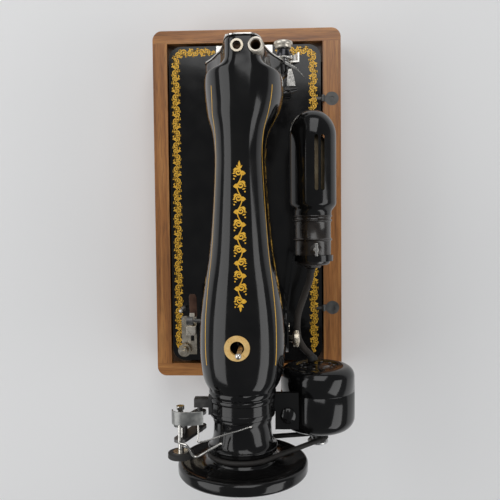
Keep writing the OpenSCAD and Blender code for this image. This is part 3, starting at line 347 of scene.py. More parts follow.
def sweep_mesh(path, radius, segments=12):
    """A round bar along a path. The radius is one value or one for each point."""
    rings = []
    for k, (point, (side, up)) in enumerate(zip(path, frames_along(path))):
        r = (radius[k] if isinstance(radius, (list, tuple)) else radius) * MM
        rings.append([point + side * c + up * s for c, s in circle(segments, r)])
    return stitch_rings(rings)


def catmull_rom(a, b, c, d, t):
    return 0.5 * (2 * b + (c - a) * t + (2 * a - 5 * b + 4 * c - d) * t * t
                  + (3 * b - a - 3 * c + d) * t ** 3)


def spans(points):
    """Each span of a row of points, as the point before, its start, its end and the point after."""
    last = len(points) - 1
    return [(points[max(i - 1, 0)], points[i], points[i + 1], points[min(i + 2, last)]) for i in range(last)]


def smooth_path(points, steps=8):
    """A Catmull-Rom curve through the points."""
    curve = [catmull_rom(*span, k / steps) for span in spans(points) for k in range(steps)]
    return curve + [points[-1]]


def helix(centre, axis, radius, start, end, turns, per_turn=20):
    along, u, v = AXES[axis]
    count = int(turns * per_turn)
    return [centre + along * ((start + (end - start) * k / count) * MM)
            + (u * math.cos(TAU * k / per_turn) + v * math.sin(TAU * k / per_turn)) * (radius * MM)
            for k in range(count + 1)]


def piece(name, parts, material, body, replaces=(), edge=0.4):
    """One visible piece from several meshes, with its edges softened by the edge's width."""
    verts, faces = join_meshes(parts)
    obj = make_object(name, verts, faces, material, body, replaces)
    recalc(obj)
    if edge:
        soften(obj, edge)
    return obj


def lathe(name, profile, centre, axis, material, body, replaces=(), segments=96):
    """A turned piece."""
    return piece(name, [lathe_mesh(profile, centre, axis, segments)], material, body, replaces, edge=0)


def cylinder(radius, start, end, centre, axis="X", segments=48, chamfer=0.3):
    profile = [(0, start), (radius - chamfer, start), (radius, start + chamfer),
               (radius, end - chamfer), (radius - chamfer, end), (0, end)]
    return lathe_mesh(profile, centre, axis, segments)


def add_material(node, material):
    """Gives a CAD node its finish."""
    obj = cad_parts[node]
    for index in range(len(obj.material_slots)):
        obj.material_slots[index].material = material
    if not obj.material_slots:
        obj.data.materials.append(material)
    return obj


# ---- arm casting ----
def lobe(value, squareness):
    return math.copysign(abs(value) ** (2 / squareness), value)


HEAD_Y = AXIS_Y + 3
# the head's left end, as (y, height) points: a narrow crown over a wide face
FACE_OUTLINE = [(-8.6, 185.5), (-6.5, 192.5), (-3.3, 197.2), (0.5, 198.6), (14, 198.8), (17.6, 198),
                (21, 193.5),
                (23, 188.5), (24.9, 178.8), (26, 164), (28.9, 151.4), (32.1, 139.9), (37.7, 126),
                (43.5, 113.5),
                (45.4, 100), (44.2, 82), (39.3, 69.3), (30, 66.8), (-20, 66.8), (-29.3, 69.8), (-33.6, 84),
                (-34.6, 98), (-33.8, 108.4), (-27.6, 118.8), (-22.5, 131), (-19.1, 140.6), (-15.4, 149),
                (-13, 157),
                (-11.5, 165), (-9.9, 176)]
# x, centre y, half width at the bottom, half width at the top, bottom, top, squareness
ARM_STATIONS = [
    (FACE_X + 24, HEAD_Y, HEAD_HW + 1.4, 35.2, HEAD_LOW - 1, ARM_TOP + 0.8, 2.7),
    (FACE_X + 33, HEAD_Y, HEAD_HW + 1.2, 36.4, HEAD_LOW - 1, ARM_TOP + 1, 2.5),
    (FACE_X + 42, HEAD_Y, HEAD_HW + 0.4, 36, HEAD_LOW + 1, ARM_TOP + 1, 2.45),
    (FACE_X + 52, HEAD_Y - 0.5, HEAD_HW - 1.2, 34.2, HEAD_LOW + 8, ARM_TOP + 1, 2.4),
    (FACE_X + 62, HEAD_Y - 1.5, HEAD_HW - 4.2, 31, HEAD_LOW + 25, ARM_TOP + 0.5, 2.4),
    (FACE_X + 76, HEAD_Y - 2.5, WAIST_HW + 4, WAIST_HW + 1, ARM_LOW - 11, ARM_TOP, 2.35),
    (FACE_X + 92, AXIS_Y, WAIST_HW + 0.5, WAIST_HW - 1, ARM_LOW - 1, ARM_TOP - 0.5, 2.3),
    (-26, AXIS_Y, WAIST_HW, WAIST_HW - 1, ARM_LOW + 1, ARM_TOP - 0.5, 2.3),
    (12, AXIS_Y, WAIST_HW + 2.5, WAIST_HW + 1, ARM_LOW, ARM_TOP - 0.5, 2.3),
    (50, AXIS_Y, WAIST_HW + 7, WAIST_HW + 4, ARM_LOW - 4, ARM_TOP, 2.3),
    (80, AXIS_Y, WAIST_HW + 12, WAIST_HW + 9, ARM_LOW - 9, ARM_TOP, 2.3),
    (110, AXIS_Y, PILLAR_HW - 1, PILLAR_HW - 5, ARM_LOW - 15, ARM_TOP, 2.35),
    (140, AXIS_Y, PILLAR_HW, PILLAR_HW - 4, ARM_LOW - 15, ARM_TOP, 2.35),
    (157, AXIS_Y, PILLAR_HW - 1.5, PILLAR_HW - 6, ARM_LOW - 11, ARM_TOP - 0.5, 2.3),
    (167, AXIS_Y, BOSS_R + 6, BOSS_R + 4, AXIS_H - BOSS_R - 7, AXIS_H + BOSS_R + 2, 2.1),
    (173, AXIS_Y, BOSS_R + 1, BOSS_R + 1, AXIS_H - BOSS_R - 1, AXIS_H + BOSS_R + 0.5, 2.0),
    (178, AXIS_Y, BOSS_R, BOSS_R, AXIS_H - BOSS_R, AXIS_H + BOSS_R, 2.0),
    (BOSS_X, AXIS_Y, BOSS_R, BOSS_R, AXIS_H - BOSS_R, AXIS_H + BOSS_R, 2.0),
]
# height, centre x, half length, half width, squareness
PILLAR_STATIONS = [
    (0, PILLAR_X - 1, PILLAR_HL + 11, PILLAR_HW + 4, 3.2),
    (4, PILLAR_X - 1, PILLAR_HL + 9.5, PILLAR_HW + 3.2, 3.2),
    (12, PILLAR_X, PILLAR_HL + 5, PILLAR_HW + 1.2, 3.0),
    (24, PILLAR_X, PILLAR_HL + 1.5, PILLAR_HW - 0.3, 2.9),
    (45, PILLAR_X, PILLAR_HL, PILLAR_HW - 1, 2.8),
    (90, PILLAR_X, PILLAR_HL + 1, PILLAR_HW, 2.7),
    (122, PILLAR_X - 1, PILLAR_HL + 4, PILLAR_HW, 2.6),
    (150, PILLAR_X - 3, PILLAR_HL + 2, PILLAR_HW - 2, 2.4),
]


def interpolate(stations, steps):
    """Catmull-Rom interpolation of a station table, value by value."""
    rows = [[catmull_rom(*column, k / steps) for column in zip(*span)]
            for span in spans(stations) for k in range(steps)]
    return rows + [stations[-1]]


def arm_ring(s, n):
    x, yc, low_hw, top_hw, z0, z1, e = s
    ring = []
    for c, u in circle(n):
        c, u = lobe(c, e), lobe(u, e)
        half = low_hw + (top_hw - low_hw) * (1 + u) / 2
        ring.append(at(x, yc + c * half, (z0 + z1) / 2 + u * (z1 - z0) / 2))
    return ring


def round_corners(points, times=2):
    """Chaikin corner cutting on a closed outline."""
    near, far = 0.78, 0.22
    for _ in range(times):
        out = []
        for i, (ax, ay) in enumerate(points):
            bx, by = points[(i + 1) % len(points)]
            out += [(ax * near + bx * far, ay * near + by * far),
                    (ax * far + bx * near, ay * far + by * near)]
        points = out
    return points


def crown_rings(n):
    """Rings from the face's outline, blended into the first round section of the head."""
    target = arm_ring(ARM_STATIONS[0], n)
    centre = Vector((HEAD_Y, 132.0))
    outline = round_corners(FACE_OUTLINE)

    def reach(direction):
        best = 0.0
        for i, a in enumerate(outline):
            b = outline[(i + 1) % len(outline)]
            p, e = Vector(a) - centre, Vector(b) - Vector(a)
            cross = direction.x * e.y - direction.y * e.x
            if abs(cross) < 1e-9:
                continue
            t = (p.x * e.y - p.y * e.x) / cross
            u = (p.x * direction.y - p.y * direction.x) / cross
            if t > 0 and 0 <= u <= 1:
                best = max(best, t)
        return best

    face = []
    for q in target:
        d = Vector((q.y / MM - BED_Y - centre.x, q.z / MM - BED_TOP - centre.y)).normalized()
        face.append(centre + d * (reach(d) - 0.6))
    rings = []
    for x, w in ((-1.3, 0), (3, 0), (8, 0), (12.5, 0.02), (16, 0.12), (18.5, 0.36), (21, 0.7), (23, 0.93)):
        ring = []
        for f, q in zip(face, target):
            y, h = q.y / MM - BED_Y, q.z / MM - BED_TOP
            ring.append(at(FACE_X + x, f.x * (1 - w) + y * w, f.y * (1 - w) + h * w))
        rings.append(ring)
    return rings


def pillar_ring(s, n):
    h, xc, half_l, half_w, e = s
    return [at(xc + half_l * lobe(c, e), AXIS_Y + half_w * lobe(v, e), h) for c, v in circle(n)]


def cutter(name, parts):
    verts, faces = join_meshes(parts)
    mesh = bpy.data.meshes.new(name)
    mesh.from_pydata([tuple(v) for v in verts], [], faces)
    obj = bpy.data.objects.new(name, mesh)
    bpy.context.collection.objects.link(obj)
    recalc(obj)
    return obj


def apply_modifiers(obj):
    """Bakes the modifiers into the mesh."""
    graph = bpy.context.evaluated_depsgraph_get()
    mesh = bpy.data.meshes.new_from_object(obj.evaluated_get(graph))
    obj.modifiers.clear()
    old = obj.data
    obj.data = mesh
    bpy.data.meshes.remove(old)


def cut_away(obj, material, parts):
    """Cuts the parts out of an object, which keeps its material."""
    tool = cutter(obj.name + "_cuts", parts)
    cut = obj.modifiers.new("cut", "BOOLEAN")
    cut.operation, cut.object, cut.solver = "DIFFERENCE", tool, "EXACT"
    apply_modifiers(obj)
    bpy.data.objects.remove(tool)
    if not obj.data.materials:
        obj.data.materials.append(material)


def shade_smooth(obj, angle):
    """Smooth shading, split where the surface turns by more than the angle."""
    obj.data.polygons.foreach_set("use_smooth", [True] * len(obj.data.polygons))
    split = obj.modifiers.new("split", "EDGE_SPLIT")
    split.split_angle = math.radians(angle)


def build_arm():
    """Crown, arm and pillar with the boss of the tension unit, fused into one casting and relaxed."""
    n = 96
    parts = [stitch_rings(crown_rings(n) + [arm_ring(s, n) for s in interpolate(ARM_STATIONS, 5)]),
             lathe_mesh([(0, 0.2), (10.0, 0.2), (7.0, 12), (0, 12)], at(FACE_X, TENSION_Y, TENSION_H), "X",
                        48),
             stitch_rings([pillar_ring(s, 72) for s in interpolate(PILLAR_STATIONS, 5)])]
    arm = piece("arm_casting", parts, JAPAN, "head", ("arm",), edge=0)
    fuse = arm.modifiers.new("fuse", "REMESH")
    fuse.mode = "VOXEL"
    fuse.voxel_size = 1.25 * MM
    fuse.use_smooth_shade = True
    relax = arm.modifiers.new("relax", "SMOOTH")
    relax.factor = 0.5
    relax.iterations = 7
    apply_modifiers(arm)
    return arm


def plate_outline(half_l, half_w, radius, steps=8):
    """A rectangle with rounded corners, as (a, b) pairs."""
    out = []
    for sx, sy, start in ((1, 1, 0), (-1, 1, 90), (-1, -1, 180), (1, -1, 270)):
        for k in range(steps + 1):
            a = math.radians(start + 90 * k / steps)
            out.append((sx * (half_l - radius) + radius * math.cos(a),
                        sy * (half_w - radius) + radius * math.sin(a)))
    return out


# ---- finishes of the pieces that come straight from the CAD ----
PLAIN = {
    "base_floor": PLAIN_WOOD, "bed_pads": PLAIN_WOOD, "hinge_leaves": HINGE_STEEL,
    "bed": JAPAN, "needle_plate": NICKEL, "slide_plate": NICKEL, "feed_dog": STEEL,
    "hook_shaft": STEEL, "shuttle": NICKEL, "bobbin": NICKEL,
    "face_plate": NICKEL, "needle_bar": NICKEL, "needle_clamp": NICKEL, "needle": STEEL,
    "take_up_lever": NICKEL, "presser_bar": NICKEL, "presser_foot": NICKEL,
    "arm_shaft": STEEL, "needle_crank": STEEL,
}


def soften_cad(node, material, width=0.4, segments=2, angle=40.0):
    """Gives a CAD node its finish and slightly rounded edges."""
    obj = add_material(node, material)
    soften(obj, width, segments, angle)
    return obj


# ---- ornament: gold leaf laid a hair above the lacquer ----
BED_LIFT, ARM_LIFT = 0.06, 0.07
# where the leaf on the arm is dropped from: clear of its sides and of its top
BESIDE_ARM, ABOVE_ARM = 90, 230


def ribbon(points, widths):
    """A flat strip along (s, t) points, as verts and quads in that plane."""
    verts, faces = [], []
    for i, (s, t) in enumerate(points):
        a, b = points[max(i - 1, 0)], points[min(i + 1, len(points) - 1)]
        dx, dy = b[0] - a[0], b[1] - a[1]
        length = math.hypot(dx, dy) or 1
        w = (widths[i] if isinstance(widths, list) else widths) / 2
        verts += [(s - dy / length * w, t + dx / length * w), (s + dy / length * w, t - dx / length * w)]
        if i:
            k = 2 * i
            faces.append((k - 2, k - 1, k + 1, k))
    return verts, faces


def disc(cs, ct, radius, n=12):
    return [(cs + x, ct + y) for x, y in circle(n, radius)], [tuple(range(n))]


def hoop(cs, ct, radius, width, start=0.0, sweep=360.0, n=22):
    """A part of a ring, or a whole one."""
    angles = [math.radians(start + sweep * i / n) for i in range(n + 1)]
    return ribbon([(cs + radius * math.cos(a), ct + radius * math.sin(a)) for a in angles], width)


def curl(cs, ct, radius, width, start, turns, n=26, hand=1):
    """A spiral that winds in towards its eye."""
    pts, widths = [], []
    for i in range(n + 1):
        k = i / n
        a = math.radians(start) + hand * TAU * turns * k
        r = radius * (1 - 0.72 * k)
        pts.append((cs + r * math.cos(a), ct + r * math.sin(a)))
        widths.append(width * (1 - 0.35 * k))
    verts, faces = ribbon(pts, widths)
    eye = disc(pts[-1][0], pts[-1][1], width * 0.62, 10)
    return join_meshes([(verts, faces), eye])


def leaf(s, t, length, width, angle, n=8):
    """A pointed leaf that starts at (s, t)."""
    a = math.radians(angle)
    pts = [(s + math.cos(a) * length * k / n, t + math.sin(a) * length * k / n) for k in range(n + 1)]
    return ribbon(pts, [max(width * math.sin(math.pi * (k / n) ** 0.75), 0.04) for k in range(n + 1)])


def leaves(s, t, side, rows):
    """Leaves about (s, t), mirrored by side. A row is: along, across, length, width, angle."""
    return [leaf(s + ds, t + dt * side, length, width, angle * side) for ds, dt, length, width,
            angle in rows]


MOTIF_L = 14


def border_motif(s, side):
    """One repeat of the bed's border: a rosette between two curls, 14 mm long."""
    parts = [hoop(s, 0.5 * side, 3.0, 1.15), disc(s, 0.5 * side, 1.05, 10)]
    for k in range(6):
        a = 60 * k + 30
        parts.append(leaf(s + 1.2 * math.cos(math.radians(a)), 0.5 * side + 1.2 * math.sin(math.radians(a)),
                          1.7, 0.9, a, 4))
    parts.append(curl(s + 7.0, -1.4 * side, 3.0, 1.35, 100 * side, 1.25, 22, -side))
    parts.append(hoop(s + 3.6, 2.6 * side, 2.5, 1.1, 200 * side, 150 * side, 12))
    parts += leaves(s, 0, side, ((5.6, 2.2, 4.6, 1.9, 18), (4.2, -3.4, 3.6, 1.5, -150),
                                 (9.6, -3.6, 3.4, 1.4, -28), (-2.6, -2.6, 2.9, 1.4, -130),
                                 (2.4, -2.8, 2.9, 1.4, -50), (-2.2, 3.2, 2.6, 1.3, 130)))
    parts.append(disc(s + 7.2, 4.2 * side, 0.8, 8))
    return join_meshes(parts)


def path_walker(points, radius):
    """A polyline with rounded corners: gives the place and direction at a length."""
    samples = []
    for i, p in enumerate(points):
        if i in (0, len(points) - 1):
            samples.append(Vector(p))
            continue
        a, b, c = Vector(points[i - 1]), Vector(p), Vector(points[i + 1])
        u, v = (a - b).normalized(), (c - b).normalized()
        for k in range(13):
            t = k / 12
            start, stop = b + u * radius, b + v * radius
            samples.append(start * (1 - t) ** 2 + b * (2 * t * (1 - t)) + stop * t ** 2)
    lengths = [0.0]
    for a, b in zip(samples, samples[1:]):
        lengths.append(lengths[-1] + (b - a).length)

    def place(s):
        s = min(max(s, 0.0), lengths[-1])
        i = max(k for k in range(len(lengths)) if lengths[k] <= s + 1e-9)
        i = min(i, len(samples) - 2)
        step = samples[i + 1] - samples[i]
        q = samples[i] + step * ((s - lengths[i]) / max(lengths[i + 1] - lengths[i], 1e-9))
        return q, step.normalized()
    return place, lengths[-1]


def border_band(points, radius):
    """The border along a path of (x, y) points, tapered at both ends."""
    place, total = path_walker(points, radius)
    count = round(total / MOTIF_L)
    pitch = total / count
    verts, faces = [], []
    for k in range(count):
        motif, motif_faces = border_motif(0, 1 if k % 2 else -1)
        base = len(verts)
        for s, t in motif:
            length = (k + 0.35) * pitch + s * pitch / MOTIF_L
            near = min(length + 4, total - length + 4)
            squeeze = min(1.0, max(0.25, near / MOTIF_L))
            q, d = place(length)
            verts.append((q.x - d.y * t * squeeze, q.y + d.x * t * squeeze))
        faces += [tuple(base + i for i in face) for face in motif_faces]
    # the running stem that ties the curls together
    step, swing = 0.9, 2.9
    stem, stem_faces = ribbon([(i * step, swing * math.sin(TAU * (i * step) / (2 * pitch)))
                               for i in range(int(total / step))], 0.95)
    base = len(verts)
    for s, t in stem:
        q, d = place(s)
        verts.append((q.x - d.y * t, q.y + d.x * t))
    faces += [tuple(base + i for i in face) for face in stem_faces]
    return verts, faces


def bed_ornament():
    """The bed's border in two runs, broken at the slide plate and at the pillar."""
    left, front, rear = -BED_L / 2 + 7.0, -BED_W / 2 + 8.0, BED_W / 2 - 9.0
    runs = {"border_front": [(173, front), (left, front), (left, -34)],
            "border_rear": [(left, 36), (left, rear), (176, rear)]}
    for name, run in runs.items():
        verts, faces = border_band(run, 13)
        make_object(name, [at(x, y, BED_LIFT) for x, y in verts], faces, GOLD, "head",
                    smooth=False)


bed_ornament()


# ---- arm casting with its gold work ----
ARM = build_arm()


def cut_arm():
    """Opens the bores and the head's cavity, and trims the casting's face and foot."""
    cut_away(ARM, JAPAN, [
        cylinder(6.4, 150, 215, at(SPOOL_X, SPOOL_Y, 0), "Z", 48, 0),
        cylinder(5.7, 160, 215, at(NEEDLE_X, AXIS_Y, 0), "Z", 48, 0),
        cylinder(7.0, 160, 215, at(NEEDLE_X, PRESSER_Y, 0), "Z", 48, 0),
        block_mesh(at(-134.4, -5, 60), at(-112, 23, 165)),
        block_mesh(at(-138, -12, 98), at(-110, -4, 158)),
    ])
    cut_away(ARM, JAPAN, [block_mesh(at(-170, -80, -20), at(FACE_X - 1.1, 80, 240)),
                          block_mesh(at(-170, -80, -40), at(240, 80, 0))])
    shade_smooth(ARM, 50)


cut_arm()
TREE = BVHTree.FromObject(ARM, bpy.context.evaluated_depsgraph_get())


def on_arm(x, y, h, direction):
    """The arm's surface seen from a point along a direction, lifted a hair."""
    hit, normal, _, _ = TREE.ray_cast(at(x, y, h), direction)
    if hit is None:
        return None
    if normal.dot(direction) > 0:
        normal = -normal
    return hit + normal * (ARM_LIFT * MM)


def lay_on_arm(name, mesh, place, direction):
    """Drops flat gold work on the arm. The function place gives each (s, t) its point to drop from."""
    verts, faces = mesh
    points = [on_arm(*place(s, t), direction) for s, t in verts]
    faces = [f for f in faces if all(points[i] is not None for i in f)]
    used = sorted({i for f in faces for i in f})
    index = {i: k for k, i in enumerate(used)}
    make_object(name, [points[i] for i in used], [tuple(index[i] for i in f) for f in faces], GOLD, "head",
                smooth=False)


def arm_scroll():
    """A running scroll of leaves along the arm's top."""
    parts = []
    x0, x1, yc = -27.0, 94.0, 4.5
    count = 11
    pitch = (x1 - x0) / count
    step = 0.8
    stem = [(x0 + 2 + i * step, 1.9 * math.sin(TAU * (i * step) / (2 * pitch)))
            for i in range(int((x1 - x0 - 4) / step))]
    parts.append(ribbon(stem, 0.9))
    for k in range(count):
        s = x0 + (k + 0.5) * pitch
        side = 1 if k % 2 else -1
        parts.append(curl(s, 1.1 * side, 3.3, 1.5, 90 * side, 1.35, 26, side))
        parts += leaves(s, 0, side, ((-1.0, -1.4, 4.6, 2.2, -62), (2.2, -1.2, 4.4, 2.0, -108),
                                     (-3.8, 2.2, 3.6, 1.5, 60), (3.6, 2.4, 3.2, 1.3, 110)))
        parts.append(disc(s + pitch / 2, 4.6 * side, 0.75, 8))
        parts.append(leaf(s + 0.6, 3.6 * side, 2.4, 1.2, 80 * side))
    for end, sign in ((x0, -1), (x1, 1)):
        parts.append(leaf(end - 1.5 * sign, 0, 6.0, 2.2, 90 - 90 * sign))
        parts.append(leaf(end - 2.5 * sign, 0, 4.2, 1.6, 90 - 50 * sign))
        parts.append(leaf(end - 2.5 * sign, 0, 4.2, 1.6, 90 - 130 * sign))
    lay_on_arm("arm_top_scroll", join_meshes(parts), lambda s, t: (s, t + yc, ABOVE_ARM), -Z_DIR)


def bowed_line(first, length, count, height, bow, width):
    """A line along the arm's side that bows by a few millimetres."""
    xs = [first + 1.65 * i for i in range(count)]
    return ribbon([(x, height + bow * math.sin((x - first) / length * math.pi)) for x in xs], width)


def arm_side_gold():
    """Fine lines along both sides of the arm, and a scroll between them."""
    parts = []
    for k in range(9):
        s = -40 + k * 16.5
        side = 1 if k % 2 else -1
        parts.append(curl(s, 163 + 1.4 * side, 4.8, 1.9, 90 * side, 1.35, 26, side))
        parts += leaves(s, 161, side, ((-1, -1.4, 6.4, 2.8, -62), (3, -1.2, 6.0, 2.4, -112)))
        parts += leaves(s, 164, side, ((-6, 2.4, 5.2, 2.0, 50), (6, 2.4, 4.8, 1.8, 120)))
        parts.append(disc(s + 8.2, 163 + 5.0 * side, 1.0, 8))
    stem = [(-44 + i * 1.0, 162.5 + 2.8 * math.sin(TAU * i / 33)) for i in range(142)]
    parts.append(ribbon(stem, 1.1))
    upper = bowed_line(-98, 248, 150, 184, -3.5, 0.9)
    lower = bowed_line(-60, 176, 107, 143, 3.0, 0.8)
    sides = ((-1, "front"), (1, "rear"))
    work = [(f"pinstripe_{name}_{title}", line, sign) for sign, name in sides
            for title, line in (("upper", upper), ("lower", lower))]
    work += [(f"arm_{name}_scroll", join_meshes(parts), sign) for sign, name in sides]
    for title, mesh, sign in work:
        lay_on_arm(title, mesh, lambda s, t: (s, sign * BESIDE_ARM, t), Y_DIR * -sign)


arm_scroll()
arm_side_gold()


# ---- boss rings, handwheel, motor, belt ----
def arc(cx, cy, radius, start, stop, n=8):
    return [(cx + radius * math.cos(math.radians(start + (stop - start) * k / n)),
             cy + radius * math.sin(math.radians(start + (stop - start) * k / n))) for k in range(n + 1)]


def boss_rings():
    for k, (x, r, w) in enumerate(((175.5, 1.4, 3.4), (181.5, 0.9, 2.4), (194.6, 0.35, 2.6))):
        ring = [(BOSS_R - 1.0, x - w)] + [(BOSS_R + r * math.cos(math.radians(a)),
                                           x + w * math.sin(math.radians(a)) * 0.9)
                                        for a in range(-90, 91, 15)] + [(BOSS_R - 1.0, x + w)]
        ring.append(ring[0])
        lathe(f"boss_ring_{k}", ring, AXIS, "X", JAPAN, "head", segments=128)


def handwheel():
    rim, web = 59.7, 241.0
    profile = [(7, 196.5), (26.0, 196.5), *arc(26.0, 197.8, 1.3, -90, 0, 5), (27.3, 201), (26.6, 202.5),
               (26.6, 209), (27.2, 216), (28.6, 221), (30.2, 223.8), *arc(31.0, 225.0, 0.9, -60, 40, 4),
               (32.0, 227.4), (31.6, 228.8), (29.6, 229.9), (28.4, 231.0), (28.3, 232.0), (28.4, 233.0),
               (29.6, 234.1), (31.6, 235.2), (32.0, 236.6), (33.0, 237.6), (37, 238.8), (42, 239.4),
               (48, 239.2), (51.4, 238.7), *arc(rim - 3.4, web + 0.9, 3.4, -115, 0, 8), (rim, web + 5.2),
               *arc(rim - 3.2, web + 5.6, 3.2, 0, 115, 8), (51.8, web + 6.4), (50.2, web + 4.4),
               (46, web + 3.2), (38, web + 2.8), (24, web + 2.4), (20, web + 2), (20, web - 10),
               (7, web - 10), (7, 196.5)]
    lathe("handwheel_casting", profile, AXIS, "X", JAPAN, "main_shaft", ("handwheel",),
          segments=160)


def clutch_knob():
    knob = [(7.05, 231), (17.2, 231), (18, 231.8), (18, 243.6), *arc(16.9, 244.3, 1.1, 0, 60, 4),
            (14.2, 248.6), *arc(13.0, 248.2, 1.6, 20, 90, 4), (7.5, 249.6), (7.05, 249.0), (7.05, 231)]
    lathe("clutch_knob_turned", knob, AXIS, "X", NICKEL, "clutch_knob", ("clutch_knob",), 96)
    grips = []
    for y, z in circle(72, 18.0):
        grips.append(sweep_mesh([AXIS + Vector((x, y, z)) * MM for x in (237.0, 240.0, 243.0)], 0.42, 6))
    piece("clutch_knob_knurl", grips, NICKEL, "clutch_knob", edge=0)
    stop = [cylinder(5.2, 246.6, 250.6, AXIS, "X", 40, 0.5)]
    piece("stop_screw", stop, STEEL, "clutch_knob", edge=0)


def motor_shell():
    body = [(0, 161.2), (10, 161.2), (11, 161.8), (20, 161.8), (21, 161.2),
            *arc(36 - 9.5, 170.6, 9.3, -90, 0, 10), (36, 184), (35.6, 184.4), (35.6, 185.0), (36, 185.4),
            *arc(36 - 13, 209.8, 13, 0, 90, 12), (14, 222.8), (13, 222.2), (9, 222.2), (8.4, 222.8),
            (4.1, 222.8), (4.1, 190), (0, 190)]
    lathe("motor_shell", body, MOTOR, "X", JAPAN, "head", ("motor_housing",), 128)
    vents = []
    for y, z in circle(10, 15.5):
        place = MOTOR + Vector((161.3, y, z)) * MM
        vents.append(lathe_mesh([(0, -0.25), (1.6, -0.25), (1.6, 0.1), (0, 0.1)], place, "X", 20))
    piece("motor_vents", vents, DARK_STEEL, "head", edge=0)
    lug = [block_mesh(at(188.2, 37.2, 146.2), at(209.8, 52.8, 159.8))]
    piece("motor_lug", lug, JAPAN, "head", edge=1.6)


def motor_pulley():
    shaft = lathe_mesh([(0, 170), (3.9, 170), (3.9, 238.9), (0, 238.9)], MOTOR, "X", 48)
    wheel = lathe_mesh([(3.5, 226.2), (9.2, 226.2), (10.0, 227.0), (10.0, 228.4), (8.4, 230.2), (6.4, 231.4),
                        (6.4, 232.6), (8.4, 233.8), (10.0, 235.6), (10.0, 237.0), (9.2, 237.8), (3.5, 237.8),
                        (3.5, 226.2)], MOTOR, "X", 72)
    piece("motor_pulley", [shaft, wheel], STEEL, "motor_rotor", ("motor_rotor",), edge=0.15)
    soften_cad("motor_bracket", JAPAN, 1.2, 3, 35.0)


def belt():
    """A round belt in one plane: round the wheel, straight across, and round the pulley."""
    belt_x, cord_r, wheel_r, pulley_r = 232, 2.35, 31.0, 8.0
    wheel, pulley = Vector((AXIS_Y, AXIS_H)), Vector((MOTOR_Y, MOTOR_H))
    across = pulley - wheel
    base = math.atan2(across.y, across.x)
    spread = math.acos((wheel_r - pulley_r) / across.length)
    wraps = ((wheel, wheel_r, base + spread, TAU - 2 * spread, 64),
             (pulley, pulley_r, base - spread, 2 * spread, 24))
    path = []
    for centre, r, start, sweep, steps in wraps:
        for k in range(steps + 1):
            a = start + sweep * k / steps
            path.append(at(belt_x, centre.x + r * math.cos(a), centre.y + r * math.sin(a)))
    rings = []
    for k, p in enumerate(path):
        up = (path[(k + 1) % len(path)] - path[k - 1]).normalized().cross(X_DIR)
        rings.append([p + (X_DIR * c + up * s) * (cord_r * MM) for c, s in circle(14)])
    piece("round_belt", [stitch_rings(rings, loop=True)], LEATHER, "head", ("drive_belt",), edge=0)


boss_rings()
handwheel()
clutch_knob()
motor_shell()
motor_pulley()
belt()


# ---- lamp ----
def dome_line(r, x0, depth, n=14):
    """A quarter of an ellipse from the axis at x0 out to the radius, as (radius, distance) points."""
    return [(r * math.sin(math.pi / 2 * k / n), x0 + depth * (1 - math.cos(math.pi / 2 * k / n)))
            for k in range(n + 1)]


def lamp_hood():
    out, thick = 23.3, 1.2
    tip, end, dome, taper, neck = -89.0, 15.0, 26.0, 12.0, 18.5
    outer = dome_line(out, tip, dome)
    outer += [(out, -60), (out, -30), (out, end - taper - 3)] + [
        (neck + (out - neck) * 0.5 * (1 + math.cos(math.pi * k / 8)), end - taper + (taper - 3) * k / 8)
        for k in range(9)]
    outer += [(neck, end)]
    inner = [(neck - thick, end), (neck - thick, end - 4)] + [
        (neck - thick + (out - neck) * 0.5 * (1 - math.cos(math.pi * k / 8)),
         end - 4 - (taper - 2) * k / 8) for k in range(9)]
    inner += [(out - thick, end - taper - 8), (out - thick, -30), (out - thick, -60)]
    inner += dome_line(out - thick, tip + thick, dome - thick)[::-1]
    shade = lathe("lamp_hood", outer + inner, LAMP, "X", JAPAN, "lamp_shade", ("lamp_shade",),
                  128)
    parts = []
    for y in (2.4, 8.6):
        rows = plate_outline(53 / 2, 1.7, 1.6, 6)
        parts.append(prism_mesh([(a - 35.5, b + y) for a, b in rows], 40, LAMP + Vector((0, 0, 2)) * MM,
                                X_DIR, Y_DIR))
    parts.append(block_mesh(LAMP + Vector((-71, -30, -40)) * MM, LAMP + Vector((-4, 30, -14)) * MM))
    cut_away(shade, JAPAN, parts)
    shade_smooth(shade, 40)


def lamp_socket():
    profile = [(9, 8), (16.8, 8), (17.2, 9), (17.2, 14.6), (19.0, 14.8), *arc(18.9, 15.6, 0.5, -60, 60, 4),
               (18.4, 16.6), (18.0, 17.2), (18.0, 18.4), (18.6, 18.9), *arc(18.9, 19.9, 0.5, -70, 70, 4),
               (18.2, 21.0), (17.9, 22.4), (17.9, 36.8), *arc(18.7, 38.6, 0.6, -80, 80, 5), (18.0, 40.4),
               (17.9, 41.6), (17.9, 52), (17.2, 58.4), *arc(13.6, 60.6, 3.4, 10, 85, 8), (8.2, 65.0),
               (7.4, 66.8), (3.7, 66.9), (3.7, 60), (0, 60), (0, 22), (9, 22), (9, 8)]
    profile = [(r, x) for r, x in profile if r > 0]
    lathe("lamp_socket_turned", profile, LAMP, "X", BAKELITE, "head", ("lamp_socket",), 112)


def lamp_switch():
    """A nickel key with two ears on its moulded boss."""
    base = at(48, 74, 128.2)
    piece("switch_boss", [cylinder(5.6, -0.6, 1.0, base, "Z", 40, 0.4)], BAKELITE, "head",
          edge=0)
    bar = [cylinder(2.6, 0.8, 4.2, base, "Z", 32, 0.3),
           block_mesh(base + Vector((-6.2, -1.3, 2.2)) * MM, base + Vector((6.2, 1.3, 6.4)) * MM)]
    piece("switch_key", bar, NICKEL, "lamp_switch", ("lamp_switch",), edge=0.9)


def lamp_bulb():
    bulb = dome_line(13.0, -66, 9, 8) + [(13.0, -12), (11.0, -3), (8.0, 2), (6.9, 5), (6.9, 26), (0, 26)]
    lathe("bulb_glass", bulb, LAMP, "X", BULB, "head", ("lamp_bulb",), 64)


